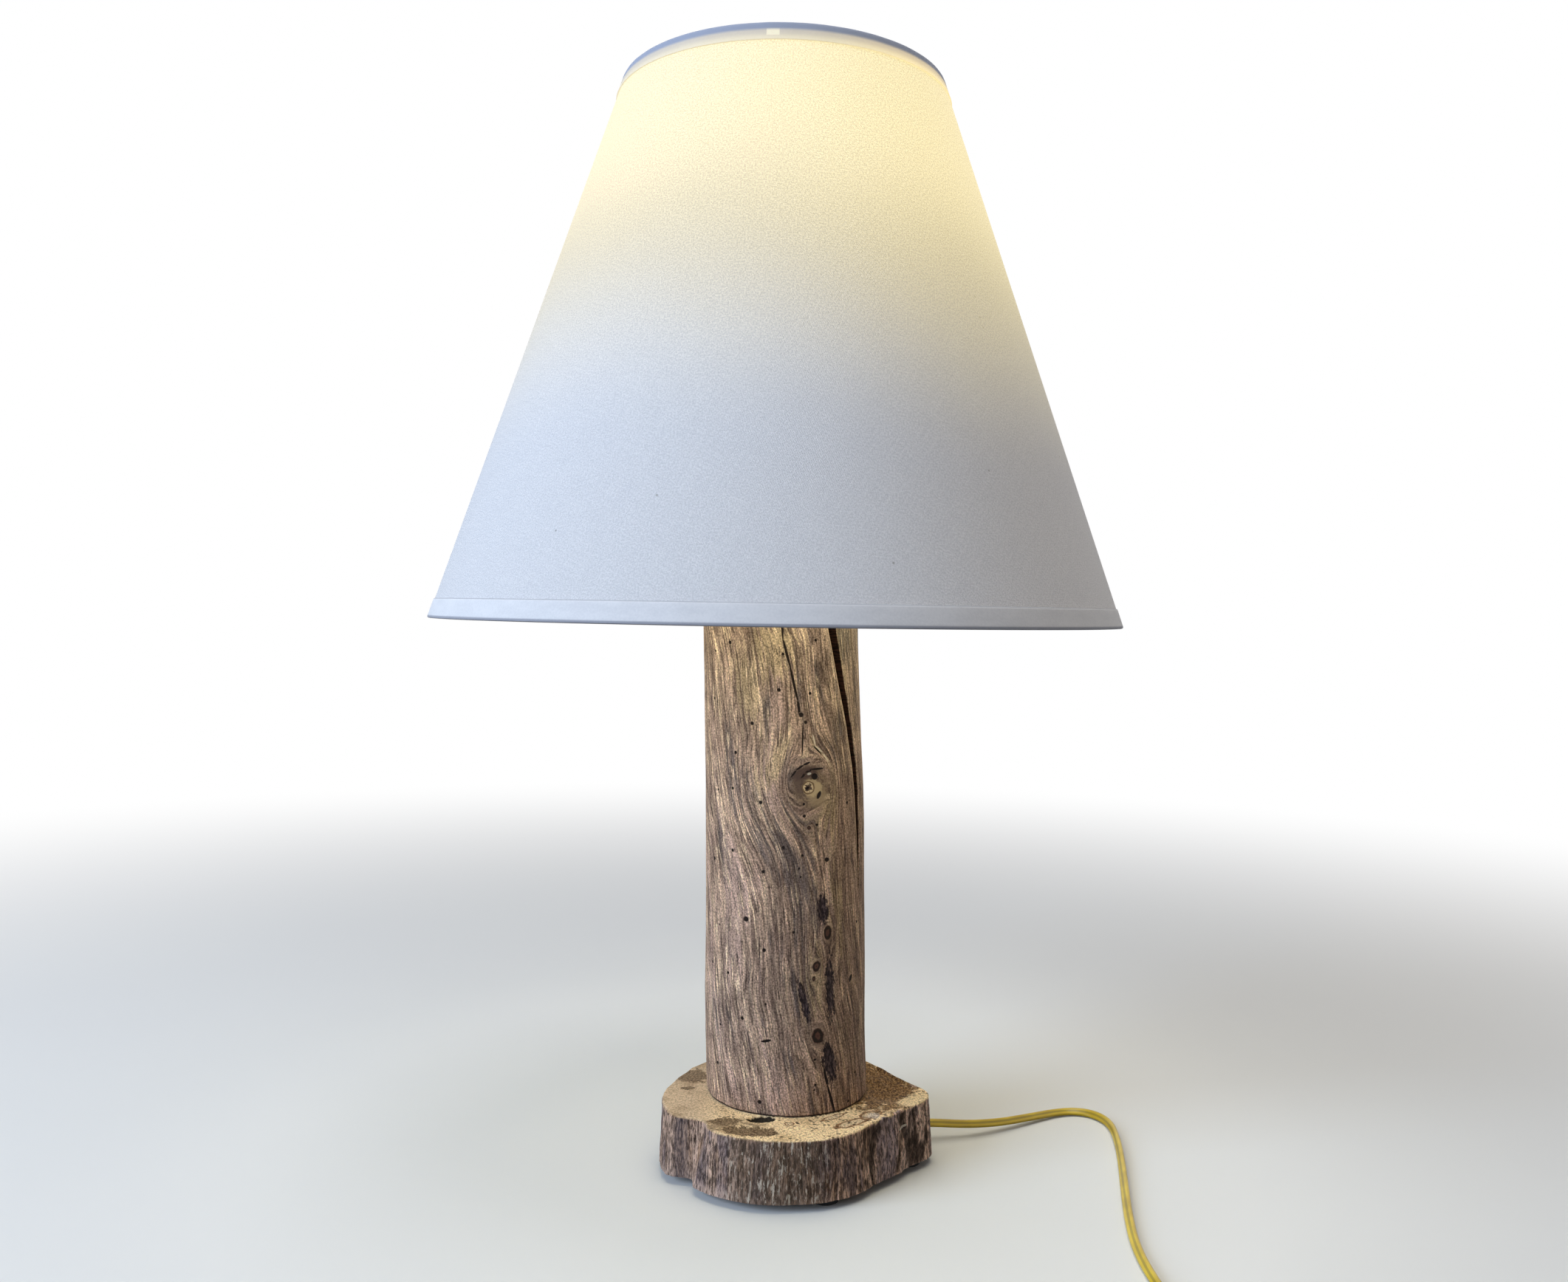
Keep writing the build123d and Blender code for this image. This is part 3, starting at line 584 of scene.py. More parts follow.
@dataclass(frozen=True)
class ShadeCloth:
    """White plain-weave cloth on the shade, lit from inside in its upper part."""

    thread: float = 0.75
    bias: float = 28.0
    glow: Glow = Glow()

    def material(self) -> Material:
        """Build the material on the flat pattern's UV map, in millimetres.

        Threads run along two lines turned by bias; each is the sine of the distance across it over the
        thread's pitch, lifted where it passes over the other, with uneven thread brightness as noise that is
        long along the thread and one pitch wide across it.

        Returns:
            The material.
        """
        board = Board("shade_cloth", Roughness=0.88, Sheen_Weight=0.15, Sheen_Roughness=0.6)
        flat = board.sheet("pattern")
        turned = board.node("VectorRotate", flat, rotation_type="Z_AXIS")
        turned.inputs["Angle"].default_value = math.radians(self.bias)
        pace = 1 / self.thread
        parts = board.axes(board.scaled(turned.outputs[0], (pace, pace, pace)))
        waves = [board.math("SINE", board.times(part, math.pi)) for part in parts[:2]]
        over = board.times(*waves)
        ribs = [board.math("ABSOLUTE", wave) for wave in waves]
        weave = board.times_plus(over, 0.35, board.times(board.add(*ribs), 0.5))
        warp = board.noise(turned.outputs[0], (pace, 0.05, 1), 1)
        weft = board.noise(turned.outputs[0], (0.05, pace, 1), 1)
        slubs = board.add(warp, weft)
        tone = board.times_plus(weave, 0.20, board.times(slubs, 0.4))
        colour = board.laid((0.770, 0.752, 0.768), (0.872, 0.848, 0.853), tone, 0.30, 0.80)
        specks = board.cells(flat, (0.045, 0.045, 1))
        colour = board.laid(colour, (0.42, 0.40, 0.38), specks, 0.02, 0.035, 0.75, 0.0)
        grains = board.span(board.noise(flat, (1.10, 1.10, 1), 2, 0.7), 0.36, 0.64, 0.900, 1.085)
        place = board.place()
        # Painted light: the cloth is darker towards the left and lighter towards the right.
        across = board.span(board.axes(place)[0], -0.14, 0.15, 0.955, 1.13)
        colour = board.tinted(colour, across)
        share = self.glow.share(board, place)
        # Painted light: the base colour is dimmed where the shade glows, so that the glow takes over there.
        veil = board.span(share, -0.15, 0.85, 1.03, self.glow.veil)
        board.set("Base Color", board.tinted(board.tinted(colour, grains), veil))
        light = board.laid(self.glow.colour, self.glow.thread, tone, 0.30, 0.80, 0.25, 0.75)
        light = board.tinted(light, board.math("POWER", grains, 2.0))
        board.set("Emission Color", board.blend(share, BLACK, light))
        board.set("Emission Strength", 1.0)
        board.relief(board.add(weave, slubs), 0.00016, 0.55)
        return board.material


class Rim(Enum):
    """Which rim of the shade a tape goes round, with the height of its folded edge in metres."""

    TOP = 0.6402
    BOTTOM = 0.3249


@dataclass(frozen=True)
class RimTape:
    """Close white tape folded round a rim wire; the fold is opaque, so it stays grey where the shade is lit, and
    that grey is painted shade.
    """

    rim: Rim
    thin_place: float = -0.0058

    def material(self) -> Material:
        """Build the material: pale cloth that darkens to blue-grey over the last few millimetres to the fold, as
        painted shade.

        Returns:
            The material.
        """
        board = Board("tape_" + self.rim.name.lower(), Roughness=0.8, Sheen_Weight=0.1, Sheen_Roughness=0.6)
        place = board.place()
        parts = board.axes(place)
        grain = board.noise(place, (900, 900, 900), 3)
        cloud = board.noise(place, (60, 60, 200), 2)
        reach = board.gap(parts[2], self.rim.value)
        tone = board.times_plus(grain, 0.5, board.times(cloud, 0.5))
        colour = board.laid((0.775, 0.765, 0.785), (0.845, 0.832, 0.848), tone, 0.35, 0.65)
        if self.rim is Rim.TOP:
            # Painted shade: the top tape's colour is dimmed, and goes blue-grey towards the fold, where no glow
            # comes through.
            fold = board.span(reach, 0.0026, 0.0050, 1.0, 0.0)
            colour = board.tinted(colour, (0.48, 0.47, 0.45))
            colour = board.blend(fold, colour, (0.35, 0.385, 0.50))
            light = board.laid((0.33, 0.28, 0.19), (0.52, 0.45, 0.26), reach, 0.0050, 0.0092)
            # Painted light: more glow shows through a thin place in the tape, on the front.
            thin = board.times(board.span(reach, 0.0030, 0.0036), board.span(reach, 0.0072, 0.0078, 1.0, 0.0))
            wide = board.gap(parts[0], self.thin_place)
            thin = board.times(thin, board.span(wide, 0.0031, 0.0037, 1.0, 0.0))
            thin = board.times(thin, board.math("LESS_THAN", parts[1], 0.0))
            # Painted light: the tape's glow is stronger towards the right.
            warm = board.span(parts[0], 0.01, 0.085)
            light = board.tinted(light, board.blend(warm, WHITE, (1.55, 1.42, 1.12)))
            light = board.blend(thin, light, (0.62, 0.56, 0.36))
            board.set("Emission Color", board.blend(board.math("SUBTRACT", 1.0, fold), BLACK, light))
            board.set("Emission Strength", 1.0)
        else:
            # Painted shade: the rolled edge under the bottom fold is darkened blue-grey, and a painted shadow line
            # runs along the tape's upper edge.
            colour = board.laid(colour, (0.17, 0.18, 0.24), reach, 0.0004, 0.0016, 0.75, 0.0)
            colour = board.laid(colour, (0.36, 0.36, 0.40), reach, 0.0099, 0.0104, 0.0, 0.75)
        board.set("Base Color", colour)
        board.relief(grain, 0.00008, 0.5)
        return board.material


@dataclass(frozen=True)
class ShadeLining:
    """Smooth white film inside the shade, bright with the bulb's light."""

    def material(self) -> Material:
        """Build the material: white film with a warm emission that is strongest level with the bulb.

        Returns:
            The material.
        """
        board = Board("shade_lining", Roughness=0.45, Emission_Strength=1.55)
        place = board.place()
        height = board.axes(place)[2]
        cloud = board.noise(place, (30, 30, 30), 2)
        board.set("Base Color", board.blend(cloud, (0.80, 0.79, 0.75), (0.86, 0.85, 0.82)))
        low = board.span(height, 0.32, 0.48)
        high = board.span(height, 0.56, 0.64, 1.0, 0.75)
        share = board.times(low, high)
        board.set("Emission Color", board.blend(share, (0.49, 0.45, 0.32), (0.88, 0.85, 0.67)))
        board.relief(cloud, 0.0002, 0.3)
        return board.material


# Post


@dataclass(frozen=True)
class Mark:
    """A place on the post: arc to the right of its front, height above the slab, half sizes in mm and a lean."""

    arc: float
    height: float
    half_width: float
    half_height: float
    lean: float = 0.0

    @classmethod
    def line(cls, start: Pair, end: Pair, half: float) -> "Mark":
        """A thin mark from one place to another.

        Args:
            start: Where it starts.
            end: Where it ends.
            half: Half its width.

        Returns:
            The mark.
        """
        run = (end[0] - start[0], end[1] - start[1])
        lean = math.degrees(math.atan2(run[1], run[0]))
        middle = ((start[0] + end[0]) / 2, (start[1] + end[1]) / 2)
        return cls(*middle, math.hypot(*run) * 0.56, half, lean)

    @classmethod
    def path(cls, half: float, places: tuple[Pair, ...]) -> list["Mark"]:
        """Thin marks from each of some places to the next."""
        return [cls.line(*ends, half) for ends in zip(places, places[1:])]

    def reach(self, flat: Grid) -> Grid:
        """Places as seen from the mark: turned to its axes and over its half sizes, so its rim is 1 away.

        Args:
            flat: Arcs and heights on the post.

        Returns:
            The places in the mark's own axes.
        """
        across, along = on_axes(flat[..., 0] - self.arc, flat[..., 1] - self.height, math.radians(self.lean))
        return np.stack([across / self.half_width, along / self.half_height], -1)

    def away(self, arc: Grid, height: Grid) -> Grid:
        """Distance from the mark's middle, its lean left out, which is 1 on its rim."""
        return oval(arc, height, (self.arc, self.height), (self.half_width, self.half_height))


def nearest_mark(corners: Grid, marks: tuple[Mark, ...]) -> Grid:
    """UV map of marks: each face takes the mark that its middle is closest to, for all of its corners.

    Args:
        corners: Flat places of each face's corners.
        marks: The marks.

    Returns:
        For each corner its place as seen from that mark.
    """
    seen = np.stack([mark.reach(corners) for mark in marks])
    choice = np.argmin(np.linalg.norm(seen.mean(-2), axis=-1), axis=0)
    return np.take_along_axis(seen, choice[None, ..., None, None], 0)[0]


KNOTS = (
    Mark(15.0, 190.5, 12.0, 13.5),
    Mark(25.7, 105.5, 2.6, 4.3),
    Mark(18.3, 87.0, 2.3, 3.4, -20.0),
    Mark(16.7, 79.8, 1.0, 1.6),
    Mark(18.8, 46.5, 3.6, 4.6),
    Mark(14.0, 167.0, 1.2, 1.2),
)
STREAKS = (
    Mark(22.5, 120.3, 3.6, 9.0, 5.0),
    Mark(10.8, 67.0, 2.2, 12.5, 13.0),
    Mark(27.2, 72.5, 2.9, 20.0, 1.5),
    Mark(26.0, 29.5, 4.6, 12.5, 8.0),
)
WORM_HOLES = (
    (-32.9, 272.2, 1.0), (1.1, 266.4, 0.8), (21.1, 274.5, 0.8), (-46.6, 267.0, 0.7), (-1.7, 245.8, 1.0),
    (16.7, 244.0, 0.8), (-48.6, 238.9, 0.9), (11.0, 231.7, 1.3), (13.4, 227.5, 1.0), (-18.4, 226.2, 1.0),
    (-30.3, 208.7, 1.0), (-45.8, 185.6, 0.6), (-32.9, 187.8, 0.8), (-14.1, 181.0, 1.0), (19.1, 168.4, 0.8),
    (41.8, 179.5, 0.8), (-32.8, 151.7, 0.9), (-0.8, 155.7, 0.9), (25.6, 147.8, 1.3), (-49.8, 144.4, 1.0),
    (10.1, 151.0, 0.7), (-12.6, 141.2, 1.0), (-23.2, 112.9, 1.5), (5.1, 107.0, 0.7), (-12.0, 96.1, 1.0),
    (-44.0, 106.2, 0.6), (-51.5, 82.5, 0.9), (-36.2, 79.6, 0.8), (-25.7, 55.0, 1.0), (-42.7, 47.7, 0.6),
    (-10.9, 65.1, 0.6), (51.6, 107.7, 0.8), (-16.0, 7.7, 1.1), (-47.1, 23.7, 0.9), (16.7, 33.0, 0.7),
    (16.6, 18.3, 0.7), (16.0, 15.3, 0.6), (40.1, 4.0, 0.8), (17.8, 196.3, 1.8), (8.2, 143.6, 0.6),
    (9.2, 138.7, 0.6), (46.8, 19.2, 0.6),
)
CRACKS = (
    ((1.6, 330.0), (0.4, 298.0), (1.2, 275.0), (5.2, 259.0), (9.2, 240.0), (10.2, 231.0)),
    ((22.4, 27.0), (24.3, 16.8), (28.8, 0.5)),
    ((-13.6, 43.2), (-8.6, 44.4)),
)
BROWS = (
    ((4.1, 196.4), (7.2, 200.3), (11.4, 203.1), (15.0, 204.6)),
    ((10.1, 195.9), (12.7, 198.8), (16.4, 200.4), (23.0, 200.9)),
)
PITS = (
    *(Mark(arc, height, radius, radius) for arc, height, radius in WORM_HOLES),
    Mark.line((12.0, 226.0), (10.7, 209.0), 0.45), Mark.line((18.0, 213.6), (22.4, 209.2), 0.45),
    *(mark for crack in CRACKS for mark in Mark.path(0.75, crack)),
    *(mark for brow in BROWS for mark in Mark.path(0.55, brow)),
    Mark(11.0, 180.6, 0.7, 0.7), Mark(11.3, 173.7, 0.9, 0.9), Mark(20.3, 185.6, 1.0, 2.2, -25.0),
    Mark(13.4, 189.6, 1.3, 0.8, 30.0), Mark(44.0, 76.0, 1.0, 2.2, -25.0),
)
SCARS = (
    Mark.line((17.6, 220.5), (19.0, 213.8), 0.5), Mark.line((19.0, 213.8), (23.4, 210.0), 0.6),
    Mark.line((23.4, 210.0), (27.3, 204.4), 0.5),
)
# Blue-grey zones of the wood; the tall one at arc 43, height 270, on the right near the top, is painted shade.
SLATE_AND_SHADE_ZONES = (
    Mark(-19.0, 170.0, 5.5, 28.0, 19.0), Mark(-44.0, 156.0, 3.5, 15.0, 5.0), Mark(3.0, 150.0, 13.0, 30.0, 16.0),
    Mark(11.0, 128.0, 8.0, 26.0, 10.0), Mark(7.5, 70.0, 4.5, 24.0, 14.0), Mark(0.0, 33.0, 4.5, 11.0, 12.0),
    Mark(-24.0, 49.0, 3.0, 15.0, 6.0), Mark(-47.0, 45.0, 4.0, 32.0, 3.0), Mark(-9.0, 236.0, 6.0, 15.0, 15.0),
    Mark(32.0, 222.0, 5.0, 15.0, 0.0), Mark(11.0, 196.0, 15.0, 15.0, 0.0), Mark(43.0, 270.0, 13.0, 50.0, 0.0),
    Mark(-34.0, 200.0, 5.0, 26.0, 6.0), Mark(17.0, 262.0, 5.0, 26.0, 6.0),
)
ROSE_ZONES = (
    Mark(-33.0, 152.0, 9.0, 26.0, 14.0), Mark(-31.0, 120.0, 7.0, 22.0, 6.0), Mark(-16.0, 132.0, 6.0, 15.0, 10.0),
    Mark(-14.0, 14.0, 28.0, 20.0, 0.0), Mark(-9.0, 186.0, 4.0, 12.0, 18.0), Mark(-38.0, 75.0, 8.0, 34.0, 3.0),
)
# Yellow-brown zones of the wood; the broad one round the top, at height 345, is painted warm lamplight from the
# shade.
OCHRE_AND_LAMPLIGHT_ZONES = (
    Mark(-3.0, 207.0, 5.5, 18.0, -26.0), Mark(-22.0, 244.0, 7.0, 20.0, 12.0), Mark(0.0, 345.0, 90.0, 44.0, 0.0),
    Mark(27.0, 178.0, 6.0, 17.0, 5.0), Mark(17.0, 82.0, 6.5, 22.0, -4.0), Mark(33.0, 125.0, 5.0, 26.0, 8.0),
    Mark(-2.0, 270.0, 16.0, 16.0, 8.0),
)


@dataclass(frozen=True)
class Driftwood:
    """Weathered, sanded wood of the post: wavy grain in pinkish browns and blue-greys, knots and worm holes."""

    tan: Triple = (0.590, 0.392, 0.282)
    brown: Triple = (0.222, 0.142, 0.106)
    rose: Triple = (0.610, 0.405, 0.318)
    slate_and_shade: Triple = (0.150, 0.112, 0.100)
    ochre_and_lamplight: Triple = (0.530, 0.375, 0.225)
    fleck: Triple = (0.950, 0.690, 0.450)
    seam: Triple = (0.075, 0.048, 0.040)
    bark: Triple = (0.018, 0.012, 0.010)
    scar: Triple = (0.80, 0.68, 0.50)
    split_dark: Triple = (0.014, 0.008, 0.006)
    split_brown: Triple = (0.060, 0.026, 0.018)
    halo: Triple = (0.40, 0.275, 0.195)
    small_heart: Triple = (0.115, 0.052, 0.038)
    decay_dark: Triple = (0.012, 0.008, 0.012)
    decay_grey: Triple = (0.115, 0.080, 0.080)
    knot_light: Stain = Stain((0.42, 0.30, 0.18), (20.0, 184.5), (7.5, 8.0), 0.0, (0.5, 1.1), 0.6)
    knot_brow: Stain = Stain((0.085, 0.052, 0.046), (12.0, 198.5), (10.5, 4.6), 16.0, (0.5, 1.1), 0.85)
    knot_cheek: Stain = Stain((0.105, 0.070, 0.060), (8.5, 191.0), (3.8, 7.0), 12.0, (0.4, 1.2), 0.7)
    knot_heart: Stain = Stain((0.56, 0.41, 0.235), (16.2, 189.9), (6.2, 5.2), -8.0, (0.84, 1.06), 0.9)

    def material(self) -> Material:
        """Build the material.

        The grain is noise over the attribute of the same name, which holds each point as it would lie if the
        fibres ran straight up, so that streaks bend round the knots. Knots, streaks, holes and cracks are
        distances in the UV maps of their marks. The attribute zones says where the wood is blue-grey, rosy or
        yellow-brown; one blue-grey zone on the right near the top is painted shade, and the broad yellow-brown
        band round the top is painted lamplight. It shifts the streaks' thresholds, so that no zone has a plain
        edge.

        Returns:
            The material.
        """
        board = Board("driftwood", Specular_IOR_Level=0.08)
        grain = board.value("grain", "Vector")
        flat = board.sheet("surface")
        # The blue-grey and yellow-brown zone amounts also carry painted shade and painted lamplight.
        slate_and_shade, rose, ochre_and_lamplight = board.axes(board.value("zones", "Vector"))
        wander = board.noise(flat, (0.35, 0.35, 1), 2)
        hair = board.noise(grain, (0.95, 0.95, 0.095), 4, 0.7)
        fibre = board.noise(grain, (0.48, 0.48, 0.034), 3, 0.6)
        broad = board.noise(grain, (0.12, 0.12, 0.010), 2)
        colour = board.laid(self.brown, self.tan, fibre, 0.36, 0.62)
        colour = board.blend(self.zone(board, broad, rose, 0.22), colour, self.rose)
        colour = board.blend(self.zone(board, fibre, ochre_and_lamplight, 0.26), colour, self.ochre_and_lamplight)
        bands = board.noise(grain, (0.26, 0.26, 0.024), 3, 0.65)
        colour = board.blend(self.zone(board, bands, slate_and_shade, 0.17), colour, self.slate_and_shade)
        colour = board.laid(colour, self.seam, hair, 0.385, 0.48, 0.82, 0.0)
        dashes = board.noise(grain, (0.90, 0.90, 0.062), 3, 0.6)
        region = board.noise(flat, (0.06, 0.022, 1), 1)
        lit = board.span(board.axes(flat)[0], -45.0, -5.0, 0.50, 0.0)
        region = board.add(board.span(region, 0.38, 0.60, 0.15, 0.75), lit)
        some = board.math("MULTIPLY", board.span(dashes, 0.55, 0.64), region, clamp=True)
        colour = board.blend(some, colour, self.fleck)
        mottle = board.noise(grain, (0.16, 0.16, 0.035), 3, 0.65)
        colour = board.tinted(colour, board.span(mottle, 0.36, 0.64, 0.74, 1.24))
        speckle = board.noise(flat, (1.05, 0.85, 1), 3, 0.75)
        colour = board.tinted(colour, board.span(speckle, 0.38, 0.62, 0.54, 1.42))
        # Painted shade: the right side of the post, away from the window light, is darkened, more so and with less
        # blue towards the top; the whole post is also cooler towards the top.
        across, rise = board.axes(flat)[:2]
        up = board.span(rise, 140.0, 300.0)
        side = board.blend(up, (0.96, 0.96, 0.98), (0.76, 0.78, 0.70))
        colour = board.tinted(colour, board.laid(WHITE, side, across, 18.0, 46.0))
        colour = board.tinted(colour, board.blend(up, WHITE, (0.90, 0.96, 1.0)))
        colour = self.knots(board, wander, colour)
        colour = self.big_knot(board, flat, wander, colour)
        colour = self.streaks(board, grain, wander, colour)
        scar = board.times_plus(wander, 0.6, self.reach(board, "scars"))
        colour = board.laid(colour, self.scar, scar, 0.9, 1.5, 0.85, 0.0)
        pits = self.pits(board, flat, wander)
        # Painted shadow: the lowest 0.5 to 1.5 mm of the post is darkened to the colour of the pits, as a contact
        # shadow on the slab.
        dark = board.math("MAXIMUM", pits, board.span(rise, 0.5, 1.5, 0.94, 0.0))
        colour = board.blend(dark, colour, self.bark)
        depth = board.value("depth")
        # Painted highlight: a pale line along the split's left lip, where depth is below 0.
        colour = board.laid(colour, self.fleck, depth, -0.95, -0.05, 0.65, 0.0)
        # The split's walls are dark brown to near black, partly their own colour and partly painted shade, from
        # 0.05 mm of depth in.
        wall = board.laid(self.split_dark, self.split_brown, speckle, 0.40, 0.60)
        colour = board.laid(colour, wall, depth, 0.05, 0.6)
        board.set("Base Color", colour)
        board.set("Roughness", board.span(hair, 0.3, 0.7, 0.74, 0.58))
        lift = board.times_plus(hair, 0.8, board.times(fibre, 0.6))
        board.relief(board.math("SUBTRACT", lift, pits), 0.0006, 0.7)
        return board.material

    def zone(self, board: Board, streaks: object, amount: object, start: float) -> Socket:
        """How far a zone's colour takes over: streak noise is lifted by the zone's amount before its threshold."""
        lifted = board.times_plus(amount, start, streaks)
        return board.span(lifted, 0.55, 0.73, 0.0, 0.88)

    def knots(self, board: Board, wander: object, colour: object) -> Socket:
        """Dress the small knots: a pale halo, growth rings as a sine of the distance and a dark heart.

        Args:
            board: Node tree of the material.
            wander: Slow noise that makes the edges uneven.
            colour: The colour so far.

        Returns:
            The colour with them on it.
        """
        reach = board.add(self.reach(board, "knots"), board.times_plus(wander, 0.6, -0.3))
        rings = board.math("SINE", board.times(reach, -7.0))
        colour = board.laid(colour, self.halo, reach, 1.05, 1.7, 0.5, 0.0)
        inner = board.laid(self.small_heart, self.bark, rings, -0.6, 0.5)
        return board.laid(colour, inner, reach, 0.90, 1.10, 0.95, 0.0)

    def big_knot(self, board: Board, flat: object, wander: object, colour: object) -> Socket:
        """Dress the big knot: brown rings round a pale ringed heart, under a shaded brow.

        Args:
            board: Node tree of the material.
            flat: Arc and height on the post.
            wander: Slow noise that makes the edges uneven.
            colour: The colour so far.

        Returns:
            The colour with the knot on it.
        """
        wobble = board.times_plus(wander, 0.5, -0.25)
        knot = KNOTS[0]
        reach = board.ellipse(flat, (knot.arc, knot.height), (knot.half_width, knot.half_height))
        reach = board.add(reach, board.times(wobble, 0.6))
        rings = board.math("SINE", board.times(board.add(reach, wobble), 30.0))
        around = board.laid((0.285, 0.195, 0.125), (0.120, 0.080, 0.060), rings, -0.4, 0.9, 0.0, 0.8)
        colour = board.laid(colour, around, reach, 0.74, 1.04, 0.9, 0.0)
        for stain in (self.knot_light, self.knot_brow, self.knot_cheek):
            colour = stain.over(board, colour, flat, wobble)
        colour = self.knot_heart.over(board, colour, flat, board.times(wobble, 1.2))
        flake = board.ellipse(flat, (14.6, 198.0), (1.3, 0.7), 10.0)
        ring = board.add(board.ellipse(flat, (14.0, 190.0), (3.5, 3.5)), board.times(wobble, 0.8))
        line = board.gap(ring, 1.0)
        colour = board.laid(colour, (0.70, 0.52, 0.31), ring, 0.8, 0.98, 1.0, 0.0)
        colour = board.laid(colour, (0.150, 0.085, 0.050), line, 0.06, 0.17, 0.85, 0.0)
        core = board.times_plus(board.noise(flat, (0.9, 0.9, 1), 2), 1.6, board.math("SUBTRACT", ring, 0.8))
        colour = board.laid(colour, (0.085, 0.052, 0.040), core, 0.50, 0.74, 0.95, 0.0)
        return board.laid(colour, (0.66, 0.60, 0.50), flake, 0.7, 1.2, 0.85, 0.0)

    def streaks(self, board: Board, grain: object, wander: object, colour: object) -> Socket:
        """Dark decayed streaks: leaning ellipses whose edges are broken up by the grain.

        Args:
            board: Node tree of the material.
            grain: Coordinates along the fibres.
            wander: Slow noise that makes the edges uneven.
            colour: The colour so far.

        Returns:
            The colour with them on it.
        """
        broken = board.noise(grain, (0.90, 0.90, 0.30), 3, 0.65)
        edge = board.times_plus(broken, 2.2, board.times_plus(wander, 0.9, -1.55))
        reach = board.add(self.reach(board, "streaks"), edge)
        shade = board.laid(self.decay_dark, self.decay_grey, broken, 0.44, 0.60)
        return board.laid(colour, shade, reach, 0.74, 1.16, 0.96, 0.0)

    def reach(self, board: Board, marks: str) -> Socket:
        """Distance from the nearest of some marks, which is 1 on its rim."""
        return board.length(board.sheet(marks))

    def pits(self, board: Board, flat: object, wander: object) -> Socket:
        """Worm holes and cracks where they were seen, and scattered holes at the back, from 0 to 1.

        Args:
            board: Node tree of the material.
            flat: Arc and height on the post.
            wander: Slow noise that makes the edges uneven.

        Returns:
            How much of a hole or crack there is, from 0 to 1.
        """
        seen = board.times_plus(wander, 0.3, self.reach(board, "pits"))
        seen = board.span(seen, 1.0, 1.38, 1.0, 0.0)
        side = board.math("ABSOLUTE", board.axes(flat)[0])
        dots = board.span(board.cells(flat, (0.055, 0.055, 1)), 0.04, 0.065, 1.0, 0.0)
        return board.math("MAXIMUM", seen, board.times(dots, board.span(side, 54.0, 60.0)))


